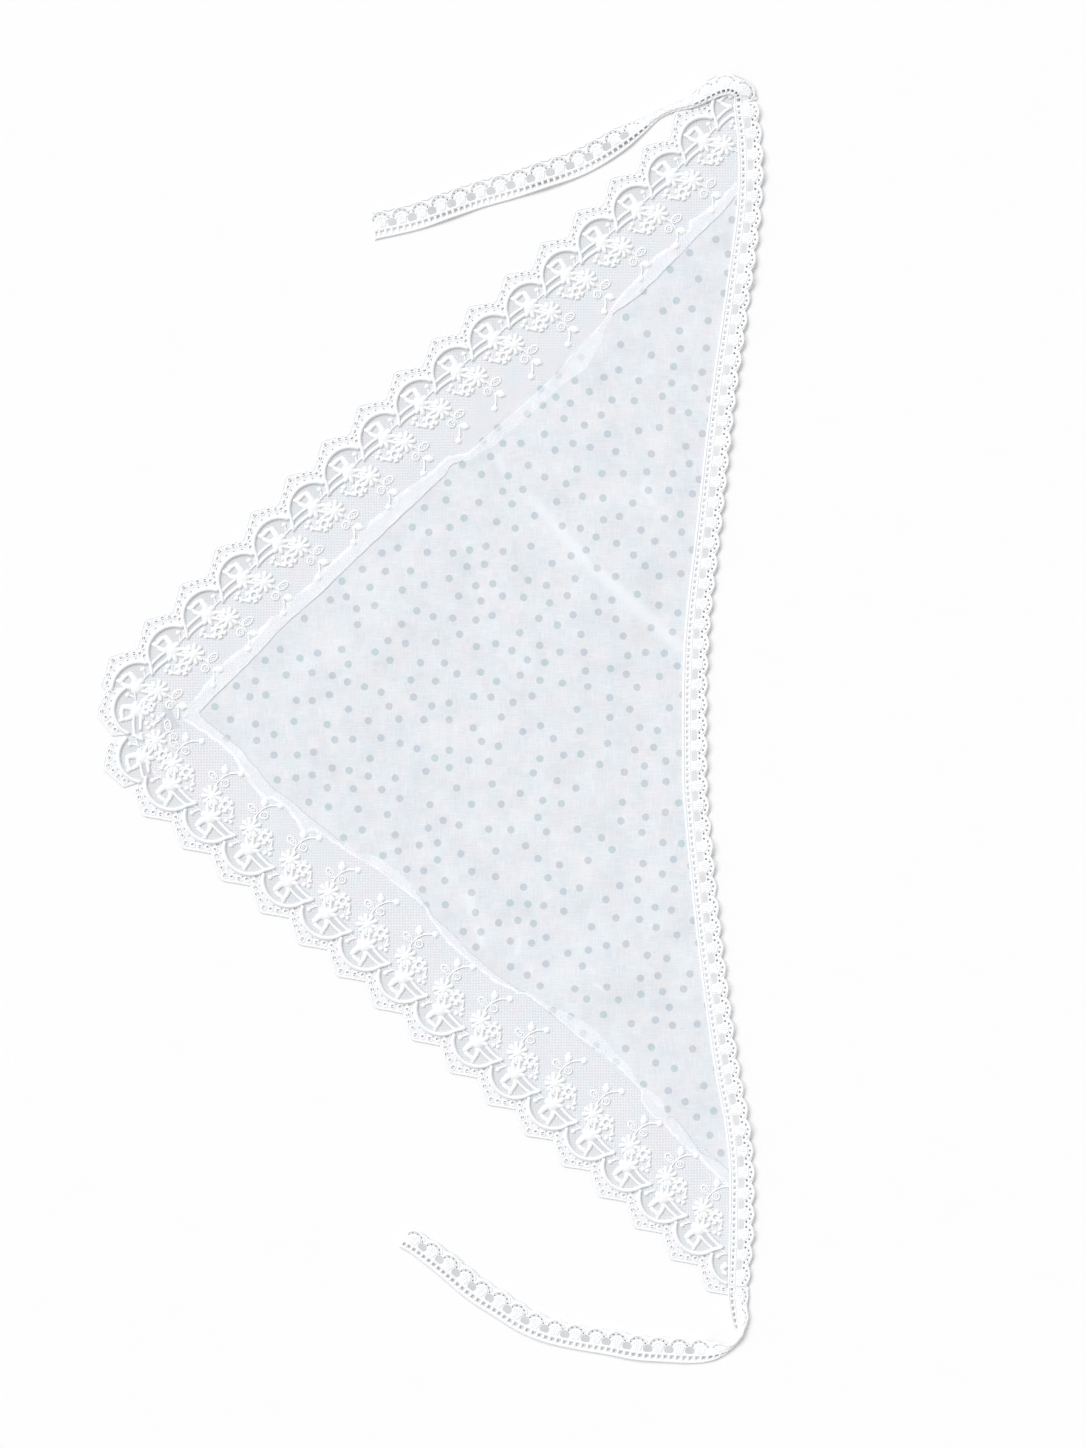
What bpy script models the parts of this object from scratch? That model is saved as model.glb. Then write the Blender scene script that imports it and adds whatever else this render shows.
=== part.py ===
"""Triangular lace kerchief shawl with two ties, laid flat on a surface.

A dotted voile triangle is edged on its two short sides with a scalloped border of embroidered
tulle. A narrow fan edging covers the long side and runs on past both corners as the ties.
The seam allowances of the two border seams lie on top as soft bands.

Lengths are in millimetres until a mesh is made. +X points away from the left corner, +Y towards
the upper tie and +Z up. The origin lies on the surface below the middle of the whole piece.
"""
import math
from bisect import bisect_right

import bmesh
import bpy
from mathutils import Vector
from mathutils.geometry import delaunay_2d_cdt

for leftover in list(bpy.data.objects):
    bpy.data.objects.remove(leftover, do_unlink=True)

METRES = 0.001              # one millimetre in metres
MIDDLE = (0.6, -0.35)       # of the whole piece, where the drawing's lines below put it

# ------------------------------------------------------------------ driving sizes
WALL = 1.0                  # thickness of each layer of cloth
GAP = 0.3                   # space left between neighbouring layers and at the seams
RELIEF = 0.5                # how far the embroidery stands above the net
RELIEF_MARGIN = 0.5         # and how far it stays inside the edges of the net
POINT_MARGIN = 1.2          # the points that shape a wall stay this far inside its edges
ON_TOP = WALL + GAP         # underside of a layer that lies on the panel or the border

PATTERN_PITCH = 27.0        # length of one embroidered repeat, as drawn below
BORDER_DEPTH = 45.0         # net inside the row of arch feet, before it is trimmed at the seam
ALLOWANCE = 7.7             # width of a seam allowance band
LAP = 3.7                   # how far the edging covers the edge of the panel and the border

EDGING_WIDTH = 14.0         # heading to scallop tips, along the long side
CORNER_WIDTH = 11.8         # the same at the bottom corner, where it is drawn in
CORNER_RAMP = 26.0          # the length over which it narrows
TIE_WIDTH = 15.2            # the same strip where it hangs free
EDGING_PITCH = 11.35        # one fan and one window of the edging
HEADING = 4.3               # ladder of small holes along the straight edge of the edging
EDGE_LIFT = 0.1             # underside of its scalloped edge above the surface

PANEL_WAVE = 0.9            # height of the soft undulations in the panel
WAVE_LENGTH = 95.0          # from one undulation to the next
WAVE_DIRECTION = (0.8, -0.45)
SWELL_LENGTH = 210.0        # the undulations fade in and out along Y over this length
SWELL_START = -60.0
FLAT_MARGIN = 10.5          # the panel lies flat this far in from its edges
FULL_WAVE = 30.0            # and waves fully from this far in
CREASE_HEIGHT = 1.6         # height of the pressed crease across the panel
CREASE_REACH = 9.0          # how far the crease spreads to each side
CREASE = ((47.3, 137.0), (143.5, 21.5))     # its two ends
BORDER_TOP = 350.0          # the border is cut off here, below the upper tie

# ------------------------------------------------------------------ lines of the garment
# Row of arch feet of the border: upper leg from the top corner to the left corner.
UPPER_LEG = (
    # x, y
    (158.4, 326.2),
    (123.4, 289.5),
    (64.2, 235.0),
    (-16.0, 163.8),
    (-93.7, 86.9),
    (-152.1, 27.0),
)
# The same row along the lower leg, from the left corner to the bottom corner.
LOWER_LEG = (
    # x, y
    (-130.1, -46.8),
    (-88.8, -80.8),
    (-23.9, -134.6),
    (37.6, -187.5),
    (99.4, -238.4),
    (159.2, -290.6),
)
# Seams between border and panel, and which way the allowance is pressed beside them.
UPPER_SEAM = (
    # along the leg, depth inside the arch feet, lean: -1 to the border, 1 to the panel
    (4.0, 32.6, -0.4),
    (27.0, 34.0, -0.8),
    (83.0, 34.0, -1.0),
    (104.0, 34.5, -0.9),
    (118.0, 34.5, -0.1),
    (137.0, 35.0, 0.9),
    (192.0, 37.0, 1.0),
    (217.0, 37.5, 1.0),
    (228.0, 37.5, 0.4),
    (238.0, 36.5, -0.6),
    (258.0, 36.5, -1.0),
    (357.0, 36.5, -1.0),
    (396.0, 35.0, -1.0),
    (434.0, 34.2, -1.0),
)
LOWER_SEAM = (
    # along the leg, depth inside the arch feet, lean: -1 to the border, 1 to the panel
    (-29.0, 36.9, -0.6),
    (0.0, 36.3, -0.8),
    (55.0, 36.3, -0.9),
    (77.0, 36.3, -0.9),
    (91.0, 37.5, 0.4),
    (110.0, 38.0, 0.9),
    (129.0, 38.0, 0.7),
    (144.0, 36.3, -0.7),
    (184.0, 35.8, -0.8),
    (206.0, 38.0, 0.6),
    (220.0, 39.0, 1.0),
    (286.0, 37.5, 1.0),
    (297.0, 37.5, 0.0),
    (308.0, 36.9, -1.0),
    (341.0, 36.9, -1.0),
    (362.0, 36.3, -0.8),
)
# Straight heading of the edging along the long side, from the bottom corner to the top corner.
LONG_SIDE = (
    # x, y
    (164.3, -311.3),
    (165.0, -271.7),
    (165.0, -246.4),
    (162.3, -221.1),
    (156.2, -187.6),
    (147.4, -121.6),
    (140.8, -55.6),
    (139.2, -22.6),
    (140.3, 43.5),
    (147.4, 109.5),
    (154.8, 175.5),
    (162.5, 230.5),
    (169.2, 281.0),
    (169.7, 313.0),
    (167.2, 338.0),
)
# Middle line of each tie. Curl bends the strip lengthwise into a trough and turn rolls it over;
# rest is the height of its lowest point above the surface.
UPPER_TIE = (
    # x, y, width, curl in degrees, turn in degrees, rest
    (174.6, 339.1, 13.6, 8.0, 0.0, 1.4),
    (174.3, 344.6, 10.0, 62.0, 0.0, 2.0),
    (168.4, 348.8, 10.0, 66.0, 0.0, 2.0),
    (160.1, 347.6, 13.6, 50.0, 0.0, 2.0),
    (152.9, 343.8, 14.0, 55.0, 0.0, 2.0),
    (143.6, 338.3, 13.0, 115.0, 10.0, 2.0),
    (133.7, 333.9, 12.6, 145.0, 25.0, 1.6),
    (124.9, 328.9, 12.8, 125.0, 20.0, 0.3),
    (116.8, 323.8, 14.4, 70.0, 8.0, 0.0),
    (103.1, 315.3, 15.0, 22.0, 0.0, 0.0),
    (88.0, 308.0, 15.2, 6.0, 0.0, 0.0),
    (79.2, 304.8, 15.2, 0.0, 0.0, 0.0),
    (61.6, 298.9, 15.2, 0.0, 0.0, 0.0),
    (44.2, 293.2, 15.2, 0.0, 0.0, 0.0),
    (26.7, 288.2, 15.2, 0.0, 0.0, 0.0),
    (9.2, 282.2, 15.2, 0.0, 0.0, 0.0),
    (-8.4, 276.1, 15.2, 0.0, 0.0, 0.0),
    (-31.4, 270.9, 15.2, 0.0, 0.0, 0.0),
)
LOWER_TIE = (
    # x, y, width, curl in degrees, turn in degrees, rest
    (170.3, -311.8, 12.2, 18.0, 0.0, 1.4),
    (170.6, -319.6, 12.8, 58.0, 8.0, 0.8),
    (170.9, -329.0, 13.6, 88.0, 35.0, 0.0),
    (168.8, -338.6, 13.6, 120.0, 85.0, 0.0),
    (163.2, -345.2, 13.8, 95.0, 132.0, 0.0),
    (154.4, -347.2, 14.2, 50.0, 165.0, 0.0),
    (145.2, -347.3, 14.2, 12.0, 180.0, 0.0),
    (129.8, -346.5, 14.2, 0.0, 180.0, 0.0),
    (114.4, -345.4, 14.2, 0.0, 180.0, 0.0),
    (98.5, -342.4, 14.2, 0.0, 180.0, 0.0),
    (83.0, -340.0, 14.0, 0.0, 180.0, 0.0),
    (66.0, -336.0, 14.2, 0.0, 180.0, 0.0),
    (52.3, -330.3, 14.6, 0.0, 180.0, 0.0),
    (39.1, -321.8, 14.8, 0.0, 180.0, 0.0),
    (25.3, -313.0, 14.6, 0.0, 180.0, 0.0),
    (9.9, -300.3, 14.0, 0.0, 180.0, 0.0),
    (-5.0, -289.3, 12.8, 0.0, 180.0, 0.0),
    (-13.5, -284.4, 12.4, 0.0, 180.0, 0.0),
)

UPPER_REPEATS = 18          # embroidered repeats on the upper leg
UPPER_PITCHES = (26.0, 28.0)    # pitch at the start and at the end of the upper leg
LOWER_REPEATS = 16
LOWER_PITCHES = (28.0, 26.1)
# Two repeats fan out round the left corner: the foot of each one's arch and its direction.
CORNER_REPEATS = (
    # x, y, heading in degrees
    (-159.2, -10.5, -84.0),
    (-153.2, -35.7, -72.0),
)
CORNER_FOLD = ((-176.0, -12.6), (-129.5, 2.4))      # where the border is folded to turn

# ------------------------------------------------------------------ one embroidered repeat
# Lengthways 0 is the foot that an arch ends on and -27 the foot it starts from; outwards is +.
SCALLOP = (
    # along, out
    (-29.7, 14.6),
    (-24.6, 17.9),
    (-19.2, 21.2),
    (-16.3, 22.0),
    (-13.4, 20.9),
    (-8.0, 17.6),
    (-2.7, 14.6),
)
ARCH_CENTRE = (-15.4, -1.5)
ARCH_RADIUS = 14.2
ARCH_SWEEP = (148.0, 14.0)  # degrees, from the first foot to the last
ARCH_BAND = 2.0
STEM_PAIR = ((-12.4, 0.5), (-0.6, 0.6))     # the double stem, raised as one bar
STEM_PAIR_WIDTH = 4.6
FLOWERS = (
    # along, out, petals, core radius, petal tip radius, first petal in degrees
    (-15.4, -0.5, 7, 3.4, 6.0, 12.0),
    (-22.4, -10.2, 7, 2.9, 6.0, 95.0),
    (-12.9, -11.4, 5, 2.9, 4.4, 60.0),
)
LEAVES = (
    # from along, from out, to along, to out, width
    (-23.4, -18.8, -30.6, -19.0, 3.4),
    (-24.0, -19.2, -18.4, -21.0, 3.6),
    (-22.0, -24.6, -27.6, -29.6, 2.8),
    (-22.6, -24.6, -15.8, -31.0, 2.0),
    (-15.6, 2.0, -14.6, 9.4, 5.2),
)

# ------------------------------------------------------------------ one repeat of the edging
FAN_EDGE = (
    # along from the middle of a window, out from the heading, both as shares
    (0.0, 0.87),
    (0.3, 1.0),
    (0.7, 1.0),
)
TIE_WINDOW = (
    # along, out
    (-2.7, 5.2),
    (2.7, 5.2),
    (2.4, 8.0),
    (0.0, 9.7),
    (-2.4, 8.0),
)
EDGING_WINDOW = (
    # along, out
    (-3.0, 4.9),
    (3.0, 4.9),
    (2.2, 7.8),
    (-2.2, 7.8),
)


# ------------------------------------------------------------------ curves
class Path:
    """A smooth curve through given rows, measured by its length; more columns run along it."""

    STEPS = 12              # straight pieces between two given rows

    def __init__(self, rows):
        self.rows = [tuple(float(value) for value in row) for row in rows]
        self.samples = self._smooth()
        self.lengths = [0.0]
        for before, after in zip(self.samples, self.samples[1:]):
            step = math.dist(before[:2], after[:2])
            self.lengths.append(self.lengths[-1] + step)
        self.length = self.lengths[-1]

    def _smooth(self):
        first = tuple(2 * a - b for a, b in zip(self.rows[0], self.rows[1]))
        last = tuple(2 * a - b for a, b in zip(self.rows[-1], self.rows[-2]))
        rows = [first, *self.rows, last]
        samples = []
        for p0, p1, p2, p3 in zip(rows, rows[1:], rows[2:], rows[3:]):
            for step in range(self.STEPS):
                samples.append(catmull_rom(p0, p1, p2, p3, step / self.STEPS))
        samples.append(self.rows[-1])
        return samples

    def at(self, length):
        """All columns at a length along the curve, straight on past its ends."""
        index = bisect_right(self.lengths, length) - 1
        index = min(max(index, 0), len(self.samples) - 2)
        before, after = self.samples[index], self.samples[index + 1]
        share = (length - self.lengths[index]) / (self.lengths[index + 1] - self.lengths[index])
        held = min(max(share, 0.0), 1.0)
        place = [a + (b - a) * share for a, b in zip(before[:2], after[:2])]
        return place + [a + (b - a) * held for a, b in zip(before[2:], after[2:])]

    def direction(self, length):
        """Unit vector along the curve, from a short stretch on both sides."""
        reach = 1.5
        x0, y0 = self.at(length - reach)[:2]
        x1, y1 = self.at(length + reach)[:2]
        size = math.hypot(x1 - x0, y1 - y0)
        return (x1 - x0) / size, (y1 - y0) / size

    def beside(self, length, out):
        """The point a distance to the right of the curve."""
        x, y = self.at(length)[:2]
        dx, dy = self.direction(length)
        return x + out * dy, y - out * dx


def catmull_rom(p0, p1, p2, p3, share):
    """A point between p1 and p2 on the smooth curve through four points."""
    square, cube = share * share, share ** 3
    return tuple(
        0.5 * (2 * b + (c - a) * share + (2 * a - 5 * b + 4 * c - d) * square
               + (3 * b - a - 3 * c + d) * cube)
        for a, b, c, d in zip(p0, p1, p2, p3)
    )


def table_value(rows, key, column):
    """A column of a table that is sorted by its first column, read between its rows."""
    if key <= rows[0][0]:
        return rows[0][column]
    for before, after in zip(rows, rows[1:]):
        if key <= after[0]:
            share = (key - before[0]) / (after[0] - before[0])
            share = share * share * (3 - 2 * share)
            return before[column] + (after[column] - before[column]) * share
    return rows[-1][column]


# ------------------------------------------------------------------ outlines
def petals(along, out, count, core, tip, first):
    """A flower: a petal's tip and the notch beside it, all the way round."""
    points = []
    for number in range(2 * count):
        angle = math.radians(first + number * 180.0 / count)
        radius = core if number % 2 else tip
        points.append((along + radius * math.cos(angle), out + radius * math.sin(angle)))
    return points


def leaf(from_along, from_out, to_along, to_out, width):
    """A leaf or a bud, widest past its middle."""
    length = math.dist((from_along, from_out), (to_along, to_out))
    dx, dy = (to_along - from_along) / length, (to_out - from_out) / length
    outline = ((0.0, 0.0), (0.6, -0.5), (1.0, 0.0), (0.6, 0.5))
    return [(from_along + dx * length * a - dy * width * b,
             from_out + dy * length * a + dx * width * b) for a, b in outline]


def bar(points, width):
    """A band of even width along a line of points."""
    left, right = [], []
    for number, (x, y) in enumerate(points):
        x0, y0 = points[max(number - 1, 0)]
        x1, y1 = points[min(number + 1, len(points) - 1)]
        size = math.hypot(x1 - x0, y1 - y0)
        nx, ny = -(y1 - y0) / size * width / 2, (x1 - x0) / size * width / 2
        left.append((x + nx, y + ny))
        right.append((x - nx, y - ny))
    return right + left[::-1]


def arch():
    """The satin band of one arch."""
    steps = 5
    points = []
    for step in range(steps + 1):
        angle = math.radians(ARCH_SWEEP[0] + (ARCH_SWEEP[1] - ARCH_SWEEP[0]) * step / steps)
        points.append((ARCH_CENTRE[0] + ARCH_RADIUS * math.cos(angle),
                       ARCH_CENTRE[1] + ARCH_RADIUS * math.sin(angle)))
    return bar(points, ARCH_BAND)


def ornament():
    """The raised outlines of one repeat of the embroidery."""
    shapes = [arch(), bar(STEM_PAIR, STEM_PAIR_WIDTH)]
    shapes += [petals(*row) for row in FLOWERS]
    shapes += [leaf(*row) for row in LEAVES]
    return shapes


def signed_area(loop):
    """Twice the area of a loop, positive where it runs anticlockwise."""
    return sum(x0 * y1 - x1 * y0 for (x0, y0), (x1, y1) in zip(loop, loop[1:] + loop[:1]))


def anticlockwise(loop):
    """The loop, turned round where it runs clockwise."""
    loop = [tuple(point) for point in loop]
    return loop if signed_area(loop) > 0 else loop[::-1]


# ------------------------------------------------------------------ walls
def triangulate(loops, points=(), lines=()):
    """Triangles over loops, loose points and lines, with the loops that hold each triangle."""
    vertices, edges, faces = [], [], []
    for loop in loops:
        start = len(vertices)
        vertices += [Vector(point) for point in loop]
        faces.append(list(range(start, len(vertices))))
    for line in lines:
        start = len(vertices)
        vertices += [Vector(point) for point in line]
        edges += [(number, number + 1) for number in range(start, len(vertices) - 1)]
    vertices += [Vector(point) for point in points]
    found = delaunay_2d_cdt(vertices, edges, faces, 0, 1e-5, True)
    places, triangles, sources, holders = found[0], found[2], found[3], found[5]
    return places, triangles, sources, holders


def region_loops(keep, clips=(), holes=()):
    """Edges of the area inside any kept loop, every clipping loop and no hole."""
    loops = [anticlockwise(loop) for loop in (*keep, *clips, *holes)]
    places, triangles, _, holders = triangulate(loops)
    last_keep, last_clip = len(keep), len(keep) + len(clips)
    following = {}
    for triangle, held in zip(triangles, holders):
        held = set(held)
        inside = any(number < last_keep for number in held)
        clipped = all(number in held for number in range(last_keep, last_clip))
        hole = any(number >= last_clip for number in held)
        if inside and clipped and not hole:
            for start, end in zip(triangle, triangle[1:] + triangle[:1]):
                following[start, end] = True
    border = {start: end for start, end in following if (end, start) not in following}
    found = []
    while border:
        start, step = border.popitem()
        loop = [start]
        while step != start:
            loop.append(step)
            step = border.pop(step)
        found.append([tuple(places[number]) for number in loop])
    return [loop for loop in found if abs(signed_area(loop)) > 0.5]


def segments(loops):
    """Every edge of some closed loops."""
    return [edge for loop in loops for edge in zip(loop, loop[1:] + loop[:1])]


def is_inside(point, edges):
    """Whether a point lies inside closed edges, by counting crossings."""
    x, y = point
    crossings = 0
    for (x0, y0), (x1, y1) in edges:
        if (y0 > y) != (y1 > y) and x < x0 + (x1 - x0) * (y - y0) / (y1 - y0):
            crossings += 1
    return crossings % 2 == 1


def clearance(point, edges):
    """Distance from a point to the nearest edge."""
    x, y = point
    nearest = math.inf
    for (x0, y0), (x1, y1) in edges:
        dx, dy = x1 - x0, y1 - y0
        share = ((x - x0) * dx + (y - y0) * dy) / (dx * dx + dy * dy)
        share = min(max(share, 0.0), 1.0)
        nearest = min(nearest, math.hypot(x - x0 - share * dx, y - y0 - share * dy))
    return nearest


def fits(point, edges, margin):
    """Whether a point lies inside the edges and keeps a margin from them."""
    return is_inside(point, edges) and clearance(point, edges) >= margin


def wall(name, loops, place, material, raised=(), points=(), lines=(), flat_under=False):
    """A closed wall of cloth over an outline and its holes, bent by place(u, v, height)."""
    edge_list = segments(loops)
    outer = [anticlockwise(loop) for loop in loops]
    raised = [anticlockwise(shape) for shape in raised
              if all(fits(point, edge_list, RELIEF_MARGIN) for point in shape)]
    points = [point for point in points if fits(point, edge_list, POINT_MARGIN)]
    top = triangulate(outer + raised, points, lines)
    bottom = triangulate(outer) if flat_under else triangulate(outer, points, lines)
    vertices, faces, levels = [], [], {}

    def vertex(level, number, places):
        key = (level, number)
        if key not in levels:
            height = {"under": 0.0, "face": WALL, "relief": WALL + RELIEF}[level]
            levels[key] = len(vertices)
            vertices.append(place(*places[number], height))
        return levels[key]

    def matching(triangulation):
        return {source: number for number, sources in enumerate(triangulation[2])
                for source in sources}

    def is_cloth(triangle, places):
        middle = [sum(places[number][axis] for number in triangle) / 3 for axis in (0, 1)]
        return is_inside(middle, edge_list)

    under_number, face_number = matching(bottom), matching(top)
    edge_sides = {}
    for triangle, held in zip(top[1], top[3]):
        if not is_cloth(triangle, top[0]):
            continue
        lifted = any(number >= len(outer) for number in held)
        level = "relief" if lifted else "face"
        faces.append([vertex(level, number, top[0]) for number in triangle])
        for start, end in zip(triangle, triangle[1:] + triangle[:1]):
            edge_sides[start, end] = lifted
    for (start, end), lifted in edge_sides.items():
        if lifted and edge_sides.get((end, start)) is False:
            faces.append([vertex("face", start, top[0]), vertex("face", end, top[0]),
                          vertex("relief", end, top[0]), vertex("relief", start, top[0])])
    for triangle in bottom[1]:
        if is_cloth(triangle, bottom[0]):
            faces.append([vertex("under", number, bottom[0]) for number in reversed(triangle)])
    first = 0
    for order, loop in enumerate(outer):
        numbers = list(range(first, first + len(loop)))
        first += len(loop)
        if order > 0:
            numbers.reverse()
        for start, end in zip(numbers, numbers[1:] + numbers[:1]):
            faces.append([vertex("under", under_number[start], bottom[0]),
                          vertex("under", under_number[end], bottom[0]),
                          vertex("face", face_number[end], top[0]),
                          vertex("face", face_number[start], top[0])])
    return make_object(name, vertices, faces, material)


def make_object(name, vertices, faces, material):
    """A scene object from vertices in millimetres."""
    mesh = bpy.data.meshes.new(name)
    corners = [((x - MIDDLE[0]) * METRES, (y - MIDDLE[1]) * METRES, z * METRES)
               for x, y, z in vertices]
    mesh.from_pydata(corners, [], faces)
    shape = bmesh.new()
    shape.from_mesh(mesh)
    if shape.calc_volume(signed=True) < 0:
        bmesh.ops.reverse_faces(shape, faces=shape.faces)
    shape.to_mesh(mesh)
    shape.free()
    mesh.materials.append(material)
    made = bpy.data.objects.new(name, mesh)
    bpy.context.scene.collection.objects.link(made)
    return made


def cloth(name, colour, roughness):
    """A plain white textile finish."""
    material = bpy.data.materials.new(name)
    material.use_nodes = True
    shader = material.node_tree.nodes["Principled BSDF"]
    shader.inputs["Base Color"].default_value = (*colour, 1.0)
    shader.inputs["Roughness"].default_value = roughness
    shader.inputs["Metallic"].default_value = 0.0
    return material


def flat(x, y, height):
    """Cloth that lies on the surface."""
    return x, y, height


def on_top(x, y, height):
    """Cloth that lies on the flat margins of the panel and on the border."""
    return x, y, ON_TOP + height


# ------------------------------------------------------------------ shared lines
upper_leg = Path(UPPER_LEG)
lower_leg = Path(LOWER_LEG)
long_side = Path(LONG_SIDE)


def seam_line(leg, table, step=13.0):
    """The seam between border and panel, as points along the leg."""
    start, end = table[0][0], table[-1][0]
    count = round((end - start) / step)
    stations = [start + (end - start) * number / count for number in range(count + 1)]
    return [leg.beside(along, -table_value(table, along, 1)) for along in stations]


def shifted(line, distance):
    """A line of points moved to its left."""
    moved = []
    for number, (x, y) in enumerate(line):
        x0, y0 = line[max(number - 1, 0)]
        x1, y1 = line[min(number + 1, len(line) - 1)]
        size = math.hypot(x1 - x0, y1 - y0)
        moved.append((x - (y1 - y0) / size * distance, y + (x1 - x0) / size * distance))
    return moved


def side_line(out, step=16.0):
    """A line beside the edging's heading, bottom to top; out is to the right of the heading."""
    count = round(long_side.length / step)
    return [long_side.beside(long_side.length * number / count, out)
            for number in range(count + 1)]


upper_seam = seam_line(upper_leg, UPPER_SEAM)
lower_seam = seam_line(lower_leg, LOWER_SEAM)


# ------------------------------------------------------------------ the panel
def crease_height(x, y):
    """The soft pressed ridge that runs across the panel, low at both ends."""
    start, end = CREASE
    length = math.dist(start, end)
    dx, dy = (end[0] - start[0]) / length, (end[1] - start[1]) / length
    along = ((x - start[0]) * dx + (y - start[1]) * dy) / length
    beside = abs((x - start[0]) * dy - (y - start[1]) * dx)
    if not 0.0 < along < 1.0 or beside > CREASE_REACH:
        return 0.0
    return CREASE_HEIGHT * math.sin(math.pi * along) * (1 - beside / CREASE_REACH)


def ripple(distance, length):
    """A smooth wave between 0 and 1."""
    return 0.5 - 0.5 * math.cos(2 * math.pi * distance / length)


def panel_height(x, y):
    """How far the top of the panel rises inside its flat margins."""
    inside = min(clearance((x, y), panel_edges), FULL_WAVE)
    share = max(0.0, inside - FLAT_MARGIN) / (FULL_WAVE - FLAT_MARGIN)
    wave = ripple(x * WAVE_DIRECTION[0] + y * WAVE_DIRECTION[1], WAVE_LENGTH)
    swell = ripple(y - SWELL_START, SWELL_LENGTH)
    return share * (PANEL_WAVE * wave * swell + crease_height(x, y))


def panel_place(x, y, height):
    """The panel's top follows its soft waves; its underside lies flat."""
    return (x, y, height + panel_height(x, y)) if height > 0 else (x, y, 0.0)


def panel_loop():
    """Outline of the panel: two seams and the edge under the edging."""
    upper = shifted(upper_seam, GAP / 2)
    lower = shifted(lower_seam, GAP / 2)
    return region_loops([one_side(upper, 1)], clips=[one_side(lower, 1),
                                                     one_side(side_line(LAP), 1)])


def panel_points():
    """Points inside the panel that carry its waves, closer together along the crease."""
    pitch, spacing, crease_steps = 27.0, 11.0, 8
    columns, rows = range(-6, 8), range(-12, 13)
    points = [((column + 0.5 * (row % 2)) * pitch, row * pitch * math.sin(math.pi / 3))
              for row in rows for column in columns]
    beside_crease = []
    (x0, y0), (x1, y1) = CREASE
    length = math.dist(*CREASE)
    dx, dy = (x1 - x0) / length, (y1 - y0) / length
    for number in range(crease_steps + 1):
        along = length * number / crease_steps
        for side in (-CREASE_REACH, 0.0, CREASE_REACH):
            beside_crease.append((x0 + dx * along - dy * side, y0 + dy * along + dx * side))
    spaced = [point for point in points
              if all(math.dist(point, other) > spacing for other in beside_crease)]
    return spaced + beside_crease


# ------------------------------------------------------------------ the embroidered border
def repeat_stations(count, pitches):
    """Where along a leg each repeat has its last foot, and its pitch there."""
    growth = (pitches[1] - pitches[0]) / (2.0 * (count - 2))
    return [(pitches[0] * number + growth * number * number,
             pitches[0] + 2 * growth * number) for number in range(count)]


def on_leg(leg, along, pitch):
    """A repeat that follows a leg."""
    stretch = pitch / PATTERN_PITCH
    return lambda s, t: leg.beside(along + s * stretch, t)


def round_corner(x, y, heading):
    """A repeat that stands by itself at the corner."""
    turn = math.radians(heading)
    dx, dy = math.cos(turn), math.sin(turn)
    return lambda s, t: (x + s * dx + t * dy, y + s * dy - t * dx)


def net_outline(repeats):
    """The net of some repeats in a row, from inside the seam out to the scallops."""
    scallops = [repeat(s, t) for repeat in repeats for s, t in SCALLOP[1:]]
    first, last = repeats[0], repeats[-1]
    return [last(SCALLOP[-1][0], -BORDER_DEPTH), first(SCALLOP[0][0], -BORDER_DEPTH),
            first(*SCALLOP[0]), *scallops]


def one_side(line, side):
    """Everything on one side of a line of points: 1 for its left, -1 for its right."""
    far = 900.0
    first = tuple(a + (a - b) * far / math.dist(line[0], line[1])
                  for a, b in zip(line[0], line[1]))
    last = tuple(a + (a - b) * far / math.dist(line[-1], line[-2])
                 for a, b in zip(line[-1], line[-2]))
    size = math.dist(first, last)
    dx, dy = (last[0] - first[0]) / size, (last[1] - first[1]) / size
    back = [(x - dy * side * far, y + dx * side * far) for x, y in (last, first)]
    return [first, *line, last, *back]


def largest(loops):
    """The loop that goes round the most area."""
    return max(loops, key=lambda loop: abs(signed_area(loop)))


def border(name, leg_repeats, corner_repeat, seam, fold, material):
    """One leg of the border with its ornament raised on the net."""
    nets = [net_outline(leg_repeats), net_outline([corner_repeat])]
    top = ((0.0, BORDER_TOP), (PATTERN_PITCH, BORDER_TOP))
    clips = [one_side(seam, -1), one_side(shifted(CORNER_FOLD, fold * GAP / 2), fold),
             one_side(side_line(LAP), 1), one_side(top, -1)]
    outline = largest(region_loops(nets, clips))
    free = segments([uncovered_area(outline)])
    shapes = []
    for repeat in (*leg_repeats, corner_repeat):
        shapes += [[repeat(s, t) for s, t in shape] for shape in ornament()]
    shapes = [shape for shape in shapes if all(is_inside(point, free) for point in shape)]
    return wall(name, [outline], flat, material, raised=shapes)


def uncovered_area(loop):
    """The part of the border that neither the edging nor a seam band covers."""
    margin = GAP + RELIEF
    bands = [band_outline(upper_leg, UPPER_SEAM, margin),
             band_outline(lower_leg, LOWER_SEAM, margin)]
    return largest(region_loops([loop], clips=[one_side(side_line(-margin), 1)], holes=bands))


# ------------------------------------------------------------------ seam allowances
def band_outline(leg, table, margin=0.0, step=11.0):
    """Outline of a seam allowance, wider by a margin."""
    start, end = table[0][0] - margin, table[-1][0] + margin
    count = round((end - start) / step)
    outer, inner = [], []
    for number in range(count + 1):
        along = start + (end - start) * number / count
        depth, lean = table_value(table, along, 1), table_value(table, along, 2)
        outer.append(leg.beside(along, -depth + ALLOWANCE * (1 - lean) / 2 + margin))
        inner.append(leg.beside(along, -depth - ALLOWANCE * (1 + lean) / 2 - margin))
    return outer + inner[::-1]


def seam_band(name, leg, table, material, keep_clear=()):
    """A seam allowance that lies on the panel and the border."""
    loops = region_loops([band_outline(leg, table)], clips=[one_side(side_line(-GAP), 1)],
                         holes=keep_clear)
    return wall(name, [largest(loops)], on_top, material)


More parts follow.
